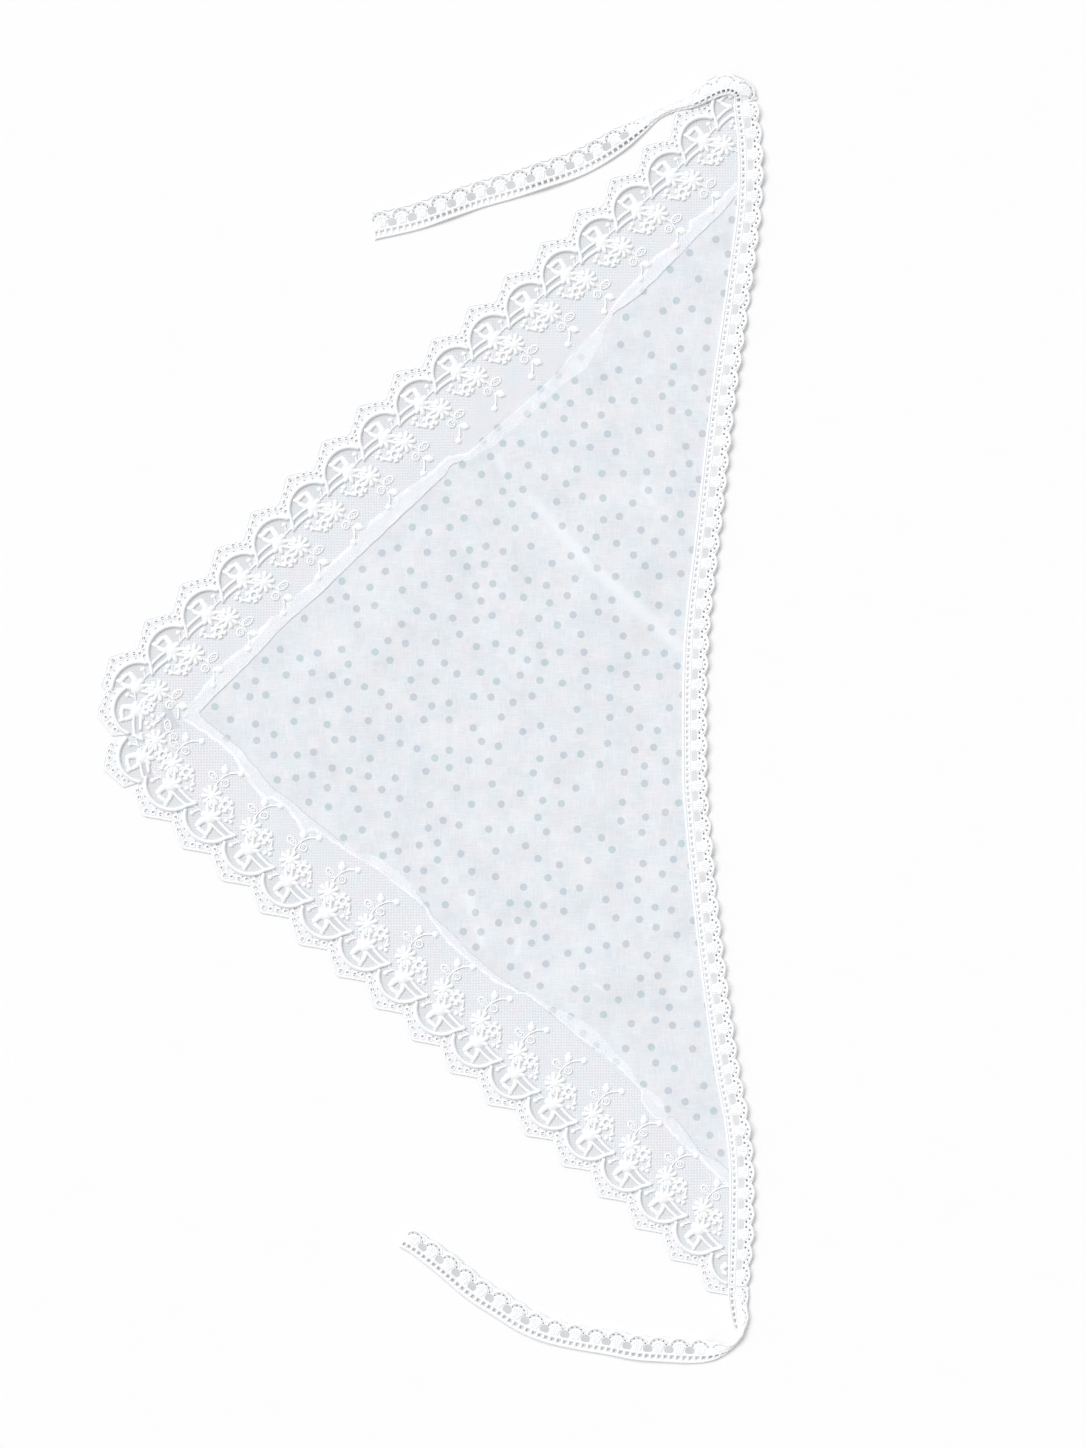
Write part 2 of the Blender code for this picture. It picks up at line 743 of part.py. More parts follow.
# ------------------------------------------------------------------ edging and ties
def strip_outline(count, length, width_at):
    """The fan edge and the straight heading of a strip, along and out."""
    fans = []
    for number in range(count):
        for share, out in FAN_EDGE:
            along = (number + share) * length / count
            fans.append((along, out * width_at(along)))
    fans.append((length, FAN_EDGE[0][1] * width_at(length)))
    heading = [(length * number / count, 0.0) for number in range(count + 1)]
    return heading + fans[::-1]


def windows(shape, stations):
    """A cut window round each station of a strip."""
    return [[(station + along, out) for along, out in shape] for station in stations]


def edging_width(along):
    """The edging narrows a little into the bottom corner."""
    return CORNER_WIDTH + (EDGING_WIDTH - CORNER_WIDTH) * min(along / CORNER_RAMP, 1.0)


def edging(material):
    """The fan edging along the long side, lapped over the edge of the panel and the border."""
    count = round(long_side.length / EDGING_PITCH)
    pitch = long_side.length / count
    outline = strip_outline(count, long_side.length, edging_width)
    holes = windows(EDGING_WINDOW, [pitch * number for number in range(1, count)])
    bend = [(pitch * (number + 0.5), HEADING) for number in range(0, count, 2)]
    loops = [outline] + holes

    def place(along, out, height):
        x, y = long_side.beside(along, out)
        slope = min(max(out - HEADING, 0.0) / (EDGING_WIDTH - HEADING), 1.0)
        return x, y, ON_TOP * (1 - slope) + EDGE_LIFT * slope + height

    return wall("edging", loops, place, material, lines=[bend])


class Ribbon:
    """A free strip that curls and turns along its middle line."""

    NO_BEND = 0.02          # a curl below this is flat
    SAMPLES = 60            # across a section, to find its lowest point

    def __init__(self, rows, side):
        self.path = Path(rows)
        self.side = side    # 1 where the fans are on the left of the middle line, else -1
        self.lowest = {}

    def section(self, along, out, height):
        """Across and up in the cross-section, before it is set down."""
        _, _, width, curl, turn, _ = self.path.at(along)
        half = width / 2
        middle = out * width / TIE_WIDTH - half
        bend = math.radians(curl)
        if bend < self.NO_BEND:
            across, up, centre = middle, height, 0.0
        else:
            radius = half / bend
            angle = middle / radius
            across = (radius - height) * math.sin(angle)
            up = radius - (radius - height) * math.cos(angle)
            centre = radius * (1 - math.cos(bend)) / 2
        across *= self.side
        up -= centre
        angle = math.radians(turn)
        return (across * math.cos(angle) - up * math.sin(angle),
                across * math.sin(angle) + up * math.cos(angle))

    def curl(self, along):
        """Degrees of curl on each side of the middle line."""
        return self.path.at(along)[3]

    def low_point(self, along):
        """Height of the lowest point of a cross-section."""
        key = round(along, 3)
        if key not in self.lowest:
            self.lowest[key] = min(
                self.section(along, TIE_WIDTH * number / self.SAMPLES, height)[1]
                for number in range(self.SAMPLES + 1) for height in (0.0, WALL))
        return self.lowest[key]

    def place(self, along, out, height):
        """The strip in space."""
        across, up = self.section(along, out, height)
        x, y = self.path.beside(along, -across)
        rest = max(self.path.at(along)[5], 0.0)
        return x, y, max(rest + up - self.low_point(along), 0.0)


def tie(name, rows, side, material):
    """A free end of the edging, with windows wherever it lies open."""
    ribbon = Ribbon(rows, side)
    length = ribbon.path.length
    count = round(length / EDGING_PITCH)
    pitch = length / count
    outline = strip_outline(count, length, lambda along: TIE_WIDTH)
    open_curl, flat_curl, half_window = 30.0, 4.0, 3.0
    stations = [pitch * number for number in range(1, count)
                if max(ribbon.curl(pitch * number + off) for off in (-half_window, half_window))
                < open_curl]
    holes = windows(TIE_WINDOW, stations)
    points = []
    rows_across, spacing = 5, 4.4
    for step in range(1, int(length / spacing)):
        along = step * spacing
        if ribbon.curl(along) > flat_curl:
            points += [(along, TIE_WIDTH * (number + 0.5) / rows_across)
                       for number in range(rows_across)]
    return wall(name, [outline] + holes, ribbon.place, material, points=points)


# ------------------------------------------------------------------ the garment
voile = cloth("voile", (0.86, 0.89, 0.92), 0.7)
tulle = cloth("tulle_lace", (0.93, 0.94, 0.95), 0.6)
allowance_cloth = cloth("seam_allowance", (0.92, 0.94, 0.96), 0.6)
fan_lace = cloth("fan_lace", (0.96, 0.96, 0.97), 0.65)

panel_loops = panel_loop()
panel_edges = segments(panel_loops)
wall("panel", panel_loops, panel_place, voile, points=panel_points(), flat_under=True)

upper_repeats = [on_leg(upper_leg, *station)
                 for station in repeat_stations(UPPER_REPEATS, UPPER_PITCHES)]
lower_repeats = [on_leg(lower_leg, *station)
                 for station in repeat_stations(LOWER_REPEATS, LOWER_PITCHES)]
corner = [round_corner(*row) for row in CORNER_REPEATS]
border("border_upper", upper_repeats, corner[0], shifted(upper_seam, -GAP / 2), 1, tulle)
border("border_lower", lower_repeats, corner[1], shifted(lower_seam, -GAP / 2), -1, tulle)

seam_band("allowance_upper", upper_leg, UPPER_SEAM, allowance_cloth)
upper_band = band_outline(upper_leg, UPPER_SEAM, GAP)
seam_band("allowance_lower", lower_leg, LOWER_SEAM, allowance_cloth, [upper_band])
edging(fan_lace)
tie("tie_upper", UPPER_TIE, -1, fan_lace)
tie("tie_lower", LOWER_TIE, 1, fan_lace)
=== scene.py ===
"""Looks of the triangular lace kerchief shawl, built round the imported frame.

Lengths are in millimetres until a mesh is made, in the same drawing frame as the solids: +X points
away from the left corner, +Y towards the upper tie and +Z up. MIDDLE moves the drawing to the
frame's origin. Every cloth is a thin shell on its solid, and every raised thread is a strand.
"""
import math
import random
from bisect import bisect_right
from itertools import accumulate, groupby, pairwise, product

import bpy
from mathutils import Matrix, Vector, noise
from mathutils.geometry import delaunay_2d_cdt


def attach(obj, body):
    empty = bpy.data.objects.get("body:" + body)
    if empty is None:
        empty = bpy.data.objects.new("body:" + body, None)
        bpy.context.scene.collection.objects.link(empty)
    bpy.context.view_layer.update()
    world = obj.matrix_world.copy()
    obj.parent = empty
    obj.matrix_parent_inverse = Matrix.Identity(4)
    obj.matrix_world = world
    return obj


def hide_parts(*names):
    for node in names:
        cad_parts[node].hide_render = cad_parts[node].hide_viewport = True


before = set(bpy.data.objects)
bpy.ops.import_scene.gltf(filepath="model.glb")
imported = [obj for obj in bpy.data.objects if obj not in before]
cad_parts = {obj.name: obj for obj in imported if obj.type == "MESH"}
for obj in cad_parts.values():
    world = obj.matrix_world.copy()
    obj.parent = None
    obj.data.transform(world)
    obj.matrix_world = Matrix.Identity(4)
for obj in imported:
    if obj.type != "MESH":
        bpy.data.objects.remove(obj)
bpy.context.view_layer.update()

METRES = 0.001              # one millimetre in metres
MIDDLE = (0.6, -0.35)       # where the drawing's lines put the middle of the whole piece
BODY = "root"               # the one rigid body

# ---- driving sizes
PATTERN_PITCH = 27.0        # length of one embroidered repeat, as charted below
BORDER_DEPTH = 45.0         # net inside the row of arch feet, before it is trimmed at the seam
ALLOWANCE = 10.0            # width of a seam allowance, the least of any sheet; cut 7.7
UNDERLAP = 0.9              # how far the panel and the net reach past the seam, under the band
LAP = 3.7                   # how far the edging covers the edge of the panel and the border
SEAM = 0.06                 # space left between neighbouring pieces
EDGING_WIDTH = 14.0         # heading to scallop tips, along the long side
CORNER_WIDTH = 11.8         # the same at the bottom corner, where it is drawn in
CORNER_RAMP = 26.0          # the length over which it narrows
TIE_WIDTH = 15.2            # the same strip where it hangs free
EDGING_PITCH = 11.35        # one fan and one window of the edging
HEADING = 4.3               # ladder of small holes along the straight edge of the edging
LADDER_PITCH = 3.45         # from one small hole of the ladder to the next
BORDER_TOP = 350.0          # the border is cut off here, below the upper tie

# Heights above the surface: underside and top of each thin cloth.
VOILE = (0.45, 0.72)
NET = (0.40, 0.56)
BAND = (0.76, 0.98)
BRAID = (0.86, 1.20)
BRAID_LIFT = (0.90, 1.50)   # the scalloped edge of the edging curls up this much, and this unevenly
LIFT_LENGTH = 19.0          # length of that unevenness
TIE_CLOTH = (0.15, 0.55)    # the ties, above the surface that they roll and fold on
TIE_SPACE = 0.85            # height that a tie takes up, whichever face is up
LOOSE, PRESSED = 1.5, 0.28  # folds of a tie above the first height are pressed to this share
RELIEF = 1.2                # how much higher the embroidery stands than its charted heights
SUNK = 0.05                 # how deep it sinks into the net
SHARP_FROM = 50.0           # degrees between two faces, past which their edge is sharp

PANEL_WAVE = 0.9            # height of the soft undulations in the panel
WAVE_LENGTH = 95.0
WAVE_DIRECTION = (0.8, -0.45)   # x, y that they run along
SWELL_LENGTH = 210.0        # they swell and fade again over this length of y
SWELL_START = -60.0         # and are flat at this y
FLAT_MARGIN = 10.5          # the panel lies flat this far in from its edges
FULL_WAVE = 30.0            # and waves fully from this far in
CREASE_HEIGHT = 1.6         # height of the pressed crease across the panel
CREASE_REACH = 9.0          # half its width
CREASE = ((47.3, 137.0), (143.5, 21.5))     # its ends
CRINKLE, CRINKLE_LENGTH = 0.22, 17.0    # height and length of the panel's small uneven waves
PANEL_GRID = 6.0            # from one point of its mesh to the next
# Painted highlights: bright lines painted along the panel's creases and soft folds, where the light
# catches them.
CREASE_HIGHLIGHTS = (
    # start x, y, end x, y, width of the bright middle, width of its halo, strength
    (50.0, 128.5, 98.0, 73.5, 1.2, 4.6, 0.50), (76.0, 96.5, 150.0, 28.5, 1.4, 5.2, 0.62),
    (37.0, 147.0, 42.5, 133.0, 0.5, 3.5, 0.40), (114.4, 129.8, 125.4, 116.6, 0.4, 3.0, 0.50),
    (21.5, -93.0, 24.2, -110.6, 0.8, 4.0, 0.55), (24.2, -110.6, 31.0, -128.0, 0.6, 3.6, 0.50),
    (49.5, -119.0, 48.4, -131.0, 0.3, 2.2, 0.45), (89.0, -144.8, 97.8, -149.5, 0.2, 1.6, 0.55),
    (62.0, -88.0, 66.0, -101.0, 0.3, 3.2, 0.30),
)

DOT_RADIUS = 2.1            # printed dots of the voile
DOT_CORNERS = 14
EDGE_CLEAR, MESH_CLEAR = 1.05, 1.4      # radii from a dot to the panel's edge, and to its mesh points
DOT_SPACING = 8.6           # least distance between two dots
DOT_DENSITY = 0.0061        # dots for each square millimetre
DOT_SEED = 20
DOT_TRIES = 60000           # draws after which no more dots are placed

# ---- lines of the garment
UPPER_LEG = (
    # x, y of the feet of the lace's arches, from the upper tie to the left corner
    (158.4, 326.2), (123.4, 289.5), (64.2, 235.0), (-16.0, 163.8), (-93.7, 86.9), (-152.1, 27.0),
)
LOWER_LEG = (
    # x, y of the feet of the lace's arches, from the left corner to the lower tie
    (-130.1, -46.8), (-88.8, -80.8), (-23.9, -134.6), (37.6, -187.5), (99.4, -238.4),
    (159.2, -290.6),
)
UPPER_SEAM = (
    # along the leg, depth inside the arch feet
    (4.0, 32.6), (27.0, 34.0), (83.0, 34.0), (104.0, 34.5), (118.0, 34.5), (137.0, 35.0),
    (192.0, 37.0), (217.0, 37.5), (228.0, 37.5), (238.0, 36.5), (258.0, 36.5), (357.0, 36.5),
    (396.0, 35.0), (434.0, 34.2),
)
LOWER_SEAM = (
    # along the leg, depth inside the arch feet
    (-29.0, 36.9), (0.0, 36.3), (55.0, 36.3), (77.0, 36.3), (91.0, 37.5), (110.0, 38.0),
    (129.0, 38.0), (144.0, 36.3), (184.0, 35.8), (206.0, 38.0), (220.0, 39.0), (286.0, 37.5),
    (297.0, 37.5), (308.0, 36.9), (341.0, 36.9), (362.0, 36.3),
)
UPPER_BAND = (
    # along the leg, depth of its edge on the lace, of its edge on the panel, overcast width
    (6.0, 29.5, 33.0, 2.0), (18.5, 28.5, 33.5, 2.6), (29.5, 28.3, 34.5, 2.8),
    (36.0, 27.5, 34.6, 2.8), (47.5, 25.6, 34.2, 2.6), (50.0, 27.6, 34.3, 2.8),
    (63.5, 28.2, 34.9, 2.8), (70.5, 26.6, 35.2, 2.8), (80.0, 25.6, 35.6, 2.8),
    (83.0, 29.0, 35.8, 2.2), (94.0, 28.4, 36.1, 2.6), (104.0, 29.4, 35.2, 2.4),
    (111.0, 31.2, 33.8, 1.6), (119.5, 33.5, 36.5, 1.0), (128.5, 34.8, 41.8, 0.9),
    (144.0, 35.7, 46.3, 0.9), (156.0, 38.0, 44.3, 1.2), (177.0, 38.7, 45.2, 0.9),
    (206.0, 38.6, 44.9, 0.9), (222.5, 38.4, 42.3, 1.2), (229.0, 34.6, 39.0, 1.8),
    (234.0, 31.7, 37.0, 2.2), (241.0, 32.4, 38.7, 2.4), (252.0, 31.2, 38.6, 2.8),
    (263.0, 29.3, 38.6, 3.2), (270.0, 28.0, 38.3, 3.6), (273.5, 30.4, 38.2, 2.8),
    (288.5, 28.3, 38.1, 3.4), (297.0, 28.0, 37.8, 3.2), (300.0, 30.0, 37.6, 2.4),
    (324.5, 29.0, 37.2, 2.8), (331.0, 27.4, 37.1, 3.4), (334.0, 29.2, 37.0, 2.4),
    (352.0, 27.6, 35.8, 2.8), (359.0, 29.4, 35.2, 2.6), (366.0, 26.7, 34.9, 3.2),
    (384.0, 27.6, 35.6, 2.8), (400.0, 25.7, 35.4, 2.6), (416.0, 26.4, 34.8, 2.6),
    (430.0, 28.2, 34.8, 2.4), (437.0, 29.5, 37.5, 2.2), (446.0, 31.0, 43.0, 2.0),
)
LOWER_BAND = (
    # along the leg, depth of its edge on the lace, of its edge on the panel, overcast width
    (-36.0, 32.0, 41.0, 1.8), (-27.0, 33.6, 40.6, 1.8), (-17.0, 34.6, 40.6, 2.0),
    (-7.5, 35.0, 40.8, 2.2), (0.0, 34.4, 40.6, 2.4), (12.0, 30.8, 38.4, 2.6),
    (22.0, 28.0, 36.4, 2.8), (28.5, 26.4, 35.0, 3.4), (31.0, 30.2, 35.4, 2.2),
    (40.0, 31.2, 36.4, 2.2), (48.0, 29.6, 36.0, 2.6), (57.0, 26.4, 36.0, 2.8),
    (60.0, 31.2, 36.0, 2.0), (71.0, 32.7, 36.2, 1.8), (82.0, 34.0, 36.6, 1.4),
    (88.0, 34.6, 36.6, 1.2), (94.0, 36.0, 41.6, 1.0), (102.0, 37.0, 42.8, 0.9),
    (114.0, 37.1, 43.6, 0.9), (126.5, 37.7, 41.3, 1.6), (134.0, 37.4, 39.4, 1.5),
    (141.5, 34.3, 37.2, 1.6), (158.0, 30.9, 36.8, 2.0), (170.0, 31.0, 35.4, 1.8),
    (190.0, 31.7, 35.8, 1.8), (201.0, 34.8, 37.2, 1.6), (210.5, 38.0, 40.0, 1.4),
    (223.5, 39.0, 41.5, 1.0), (232.0, 38.8, 44.5, 0.9), (246.5, 38.4, 47.2, 0.9),
    (254.0, 39.0, 46.4, 1.0), (274.0, 39.2, 43.6, 1.0), (289.5, 37.6, 39.3, 1.2),
    (295.5, 32.6, 40.6, 0.9), (302.0, 30.8, 40.8, 0.9), (306.0, 30.4, 38.6, 0.9),
    (309.0, 32.6, 35.6, 1.8), (313.0, 30.6, 37.8, 2.2), (320.0, 29.9, 37.0, 1.8),
    (330.0, 29.6, 34.6, 1.6), (335.0, 30.0, 33.2, 2.2), (349.5, 28.9, 36.0, 2.2),
    (362.0, 28.5, 36.2, 2.2),
)
OVER_LACE = 1.45            # overcast wider than this lies over the lace, flat and jagged
OVERCAST = 0.74             # share of the overcast width that the thread covers
OVERCAST_HEIGHT, OVERHANG = 0.07, 0.1       # of the thread, and its reach past the cloth's edge
FRAY, RAGGED = (0.15, 0.75), (0.08, 0.6)    # unevenness of that edge, and the thread's as a share,
                                            # where it lies on the panel and where on the lace
FRAY_LENGTH, RAGGED_LENGTH = 3.1, 2.3
SEAM_WANDER, WANDER_LENGTH = 0.4, 6.0       # unevenness of the edge along the seam
THINNED, THIN_GAP = 0.3, 0.02   # share of a band's thickness left at its edge on the voile, and gap
THIN_RAMP = 0.35            # all of it, where the overcast is this much narrower than OVER_LACE
SEAM_RIDGE = 0.55           # width of the ridge along the seam of such an allowance
UPPER_RIDGE, LOWER_RIDGE = 0.55, 0.28       # and its height
LONG_SIDE = (
    # x, y of the edging's straight heading, bottom to top
    (164.3, -311.3), (165.0, -271.7), (165.0, -246.4), (162.3, -221.1), (156.2, -187.6),
    (147.4, -121.6), (140.8, -55.6), (139.2, -22.6), (140.3, 43.5), (147.4, 109.5), (154.8, 175.5),
    (162.5, 230.5), (169.2, 281.0), (169.7, 313.0), (167.2, 338.0),
)
UPPER_TIE = (
    # x, y of its middle line, width, curl in degrees, turn in degrees, height that it rests at
    (174.6, 339.1, 13.6, 4.0, 0.0, 0.2), (172.4, 345.4, 12.0, -40.0, 0.0, 0.9),
    (166.6, 348.6, 11.6, -50.0, 0.0, 1.3), (160.4, 348.2, 12.2, -46.0, 0.0, 1.3),
    (154.6, 345.6, 11.4, -50.0, 0.0, 1.3), (149.0, 341.9, 8.8, -60.0, 0.0, 1.2),
    (143.4, 338.9, 6.2, -60.0, 0.0, 0.8), (136.6, 336.9, 4.4, -60.0, 0.0, 0.4),
    (129.6, 334.4, 3.9, -60.0, 0.0, 0.1), (123.6, 330.9, 4.6, -50.0, 0.0, 0.0),
    (115.8, 325.8, 8.8, -40.0, 0.0, 0.1), (105.1, 319.2, 13.4, -15.0, 0.0, 0.4),
    (92.0, 311.2, 15.0, -4.0, 0.0, 0.2), (79.2, 304.8, 15.2, 0.0, 0.0, 0.2),
    (61.6, 298.9, 15.2, 0.0, 0.0, 0.9), (44.2, 293.2, 15.2, 0.0, 0.0, 0.1),
    (26.7, 288.2, 15.2, 0.0, 0.0, 0.1), (9.2, 282.2, 15.2, 0.0, 0.0, 0.7),
    (-8.4, 276.1, 15.2, 0.0, 0.0, 0.1), (-31.4, 270.9, 15.2, 0.0, 0.0, 0.1),
)
LOWER_TIE = (
    # x, y of its middle line, width, curl in degrees, turn in degrees, height that it rests at
    (170.3, -311.8, 12.2, 6.0, 0.0, 0.2), (170.1, -319.6, 11.4, 10.0, 0.0, 0.3),
    (171.0, -330.0, 9.8, 24.0, 8.0, 0.5), (171.0, -337.4, 6.4, 40.0, 48.0, 0.6),
    (168.4, -343.0, 4.6, 45.0, 96.0, 0.5), (163.0, -346.2, 7.0, 35.0, 146.0, 0.3),
    (155.5, -347.2, 11.4, 14.0, 172.0, 0.1), (146.0, -347.3, 14.0, 4.0, 180.0, 0.0),
    (129.8, -346.5, 14.2, 0.0, 180.0, 0.3), (114.4, -345.4, 14.2, 0.0, 180.0, 0.5),
    (98.5, -342.4, 14.2, 0.0, 180.0, 0.3), (83.0, -340.0, 14.0, 0.0, 180.0, 0.2),
    (66.0, -336.0, 14.2, 0.0, 180.0, 0.4), (52.3, -330.3, 14.6, 0.0, 180.0, 0.3),
    (39.1, -321.8, 14.8, 0.0, 180.0, 0.4), (25.3, -313.0, 14.6, 0.0, 180.0, 0.4),
    (9.9, -300.3, 14.0, 0.0, 180.0, 0.6), (-5.0, -289.3, 12.8, 0.0, 180.0, 0.4),
    (-13.5, -284.4, 12.4, 0.0, 180.0, 0.4),
)
UPPER_REPEATS, UPPER_PITCHES = 18, (26.0, 28.0)     # lengths at the first and the last repeat
LOWER_REPEATS, LOWER_PITCHES = 16, (28.0, 26.1)
CORNER_REPEATS = (
    # x, y, heading in degrees
    (-159.2, -10.5, -84.0), (-153.2, -35.7, -72.0),
)
CORNER_FOLD = ((-176.0, -12.6), (-129.5, 2.4))      # where the two borders meet
DOUBLED_NET = ((-146.3, 7.2), (-141.4, 4.4), (-139.2, -0.6), (-136.4, -4.4), (-145.2, -7.7),
               (-148.0, -8.8))      # two layers of net, tucked together at the corner
# Parts of a repeat that hide another repeat's threads where the two overlap at the corner.
ARCH_COVER = ((-28.0, -3.3), (3.0, -3.3), (3.0, 25.0), (-28.0, 25.0))
FLOWER_COVER = ((-41.0, -34.0), (-14.8, -34.0), (-14.8, -4.5), (-41.0, -4.5))
SPRIG_COVER = ((-31.0, -34.0), (-15.0, -34.0), (-15.0, -22.4), (-31.0, -22.4))

# ---- one embroidered repeat
# Lengthways 0 is the foot that an arch ends on and -27 the foot it starts from; outwards is +.
SCALLOP = (
    # along, out
    (-29.7, 14.6), (-24.6, 17.9), (-19.2, 21.2), (-17.4, 21.9), (-16.2, 22.1), (-15.0, 21.8),
    (-13.4, 20.9), (-8.0, 17.6), (-2.7, 14.6),
)
ARCH_CENTRE = (-15.4, -1.5)
ARCH_RADIUS = 14.2
ARCH_SPAN, ARCH_POINTS = (156.0, 16.0), 9       # degrees that it goes round, and steps
ARCH_FOOT = [(-0.5, 0.9), (0.4, -0.8), (1.6, -2.2)]      # where its satin band goes on
ARCH_BAND = ((2.1, 2.1, 1.9), 1.25, 1.6)        # widths, height and step of the band
ARCH_INSET = 0.045          # share of the radius that the painted shade starts inside the band
ARCH_CHORD = [(-9.0, -1.0), (-15.4, -3.0), (-22.0, 0.5)]    # edge of that painted shade behind the flower
STEM_SHADE = ((-13.0, 2.9), (-6.0, 3.9), (-1.2, 3.6), (0.6, -0.6), (-1.0, -2.7), (-6.0, -2.9),
             (-13.0, -3.9))     # net between and beside the two stems, darkened with painted shade
DENSE_SPAN, DENSE_PAST = (150.0, 22.0), 0.3     # dense net: round the arch, past the scallops
DENSE_SIDES = ((-2.0, 6.0), (-1.4, 8.0), (-28.6, 8.0))
EDGE_LINE = (2.9, 0.6, 0.15, 1.5)       # thread inside the scallops: how far, width, height, step
EDGE_STITCH = (0.5, 0.22, 0.95, 0.2)    # stitching on their edge: inset, zigzag, width, height
EYELET_RING = (0.4, 0.85, 0.25, 0.9)    # thread round an eyelet: gap, width, height, step
EYELETS = (
    # along, out, radius
    (-27.0, 13.4, 0.88), (-23.9, 15.6, 0.98), (-20.6, 17.1, 0.86), (-16.6, 18.9, 1.05),
    (-13.1, 17.2, 0.88), (-9.4, 15.4, 1.00), (-5.9, 12.9, 0.98), (-2.3, 11.4, 0.80),
    (-3.0, 8.2, 1.05),
)
EYELET_CORNERS, HOLE_CORNERS = 8, 6      # of an eyelet, and of any smaller hole
PERFORATIONS = (50.0, 66.0, 82.0, 98.0, 114.0, 130.0)    # degrees, outside an arch
PERFORATION_REACH = 16.2    # of their row, from the middle of the arch
PERFORATION = 0.40          # radius of one
STRANDS = (
    # width at the start, the middle and the end, height, points (along, out) ...
    (1.8, 1.7, 1.5, 0.75, ((-1.6, 2.5), (-6.0, 2.5), (-9.5, 2.2), (-12.4, 1.6))),
    (1.8, 1.9, 2.0, 0.75, ((1.2, -2.0), (-1.0, -1.1), (-5.5, -1.2), (-9.5, -1.8), (-13.0, -2.4))),
    (1.0, 0.9, 1.1, 0.60, ((-27.0, -0.4), (-24.0, -0.1), (-21.0, -0.2))),
    (0.9, 0.9, 1.0, 0.60, ((-22.3, 0.0), (-23.2, 1.6), (-24.0, 3.0))),
    (3.6, 3.4, 2.6, 0.95, ((-15.4, -0.5), (-18.0, 0.2), (-20.6, -0.5))),
    (4.2, 3.3, 2.8, 0.85, ((-15.8, 0.8), (-17.3, 3.0), (-17.8, 6.0), (-17.9, 8.4))),
    (2.4, 2.5, 2.3, 0.75, ((-17.2, 7.4), (-15.6, 8.3), (-13.4, 8.2), (-11.6, 8.3), (-10.0, 10.0))),
    (3.4, 2.6, 2.0, 0.75, ((-13.8, 0.8), (-12.0, 3.2), (-11.2, 5.8), (-11.3, 8.0))),
    (3.2, 3.0, 2.3, 0.90, ((-15.4, -1.0), (-12.6, -2.0), (-9.8, -3.2))),
    (3.4, 2.8, 2.3, 0.90, ((-15.4, -1.2), (-13.6, -4.0), (-12.6, -6.8))),
    (2.6, 2.0, 1.8, 0.80, ((-16.6, -1.6), (-19.4, -3.6), (-21.2, -6.4), (-22.2, -9.0))),
    (2.0, 1.8, 1.8, 0.75, ((-14.8, -2.2), (-16.6, -5.6), (-18.6, -8.0), (-21.6, -10.0))),
    (1.4, 1.4, 1.3, 0.70, ((-9.4, -13.0), (-7.8, -10.6), (-6.7, -8.6), (-6.6, -6.6))),
    (1.3, 1.3, 1.3, 0.60, ((-19.4, -11.2), (-17.0, -12.2), (-15.2, -12.6))),
    (1.1, 0.95, 0.95, 0.55, ((-22.8, -14.6), (-23.8, -17.0), (-23.9, -19.6), (-23.2, -23.2))),
    (0.95, 0.95, 1.0, 0.55, ((-23.2, -23.2), (-21.8, -26.0), (-19.4, -28.4), (-17.6, -29.4))),
    (1.6, 4.4, 1.8, 0.70, ((-23.3, -23.6), (-24.4, -25.2), (-25.6, -26.8), (-26.7, -28.3))),
)
PETAL_WIDTHS = (0.7, 1.0, 1.1)      # from root to tip, as shares
PETALS = (
    # flower centre along and out, count, root radius, tip radius, width, height, first angle
    (-21.8, -10.4, 9, 1.2, 5.9, 2.3, 0.80, 100.0), (-12.9, -11.5, 6, 2.3, 4.3, 3.0, 0.80, 60.0),
)
BUDS = (
    # along, out, radius, height
    (-24.2, 3.9, 1.35, 0.80), (-11.0, 7.9, 1.20, 0.80), (-7.5, -4.9, 1.35, 0.80),
    (-5.1, -5.9, 1.30, 0.80), (-6.2, -8.7, 1.20, 0.75), (-17.2, -29.9, 1.95, 0.70),
    (-15.4, -0.4, 4.10, 1.00), (-21.8, -10.4, 3.40, 0.95),
)
RING_STEP = 1.1
RINGS = (
    # along, out, half length, half width, turn in degrees, strand width, height
    (-12.9, -11.5, 2.2, 2.05, 0.0, 1.8, 0.80), (-18.9, -6.7, 1.9, 1.5, 20.0, 1.1, 0.65),
    (-27.6, -19.2, 3.0, 1.7, 8.0, 1.0, 0.50), (-27.3, -19.2, 1.4, 0.75, 8.0, 0.85, 0.45),
    (-20.7, -20.3, 2.1, 1.9, -25.0, 1.0, 0.50), (-20.9, -20.4, 0.85, 0.8, -25.0, 0.85, 0.45),
)

# ---- one repeat of the edging
# Lengthways 0 is the middle of a window and the fan stands half a pitch on; outwards is +.
SIDE_WINDOW = (
    # along, out
    (-2.9, 5.6), (2.9, 5.6), (3.0, 8.0), (2.2, 9.1), (-2.2, 9.1), (-3.0, 8.0),
)
TIE_WINDOW = (
    # along, out
    (-1.7, 5.5), (1.7, 5.5), (2.5, 6.6), (2.6, 8.0), (1.8, 9.4), (0.6, 10.0), (-0.6, 10.0),
    (-1.8, 9.4), (-2.6, 8.0), (-2.5, 6.6),
)
SIDE_LADDER = (1.45, 1.30)  # length and width of a small hole, where the edging is sewn on
TIE_LADDER = (2.05, 1.9)    # and where it hangs free
LADDER_MIDDLE = 3.1         # of the row of small holes, out from the heading
LADDER_HOLE = (
    # along, out, as shares of half the length and half the width
    (-1.0, -0.7), (-0.6, -1.0), (0.6, -1.0), (1.0, -0.7), (1.0, 0.7), (0.6, 1.0), (-0.6, 1.0),
    (-1.0, 0.7),
)
FAN_MIDDLE = (5.67, 8.7)    # of the arc of small holes round a fan
FAN_HOLES = (22.0, 56.0, 90.0, 124.0, 158.0)    # where they stand on the arc, in degrees
FAN_REACH = (4.5, 4.4)      # how far the holes are from the middle, along and out
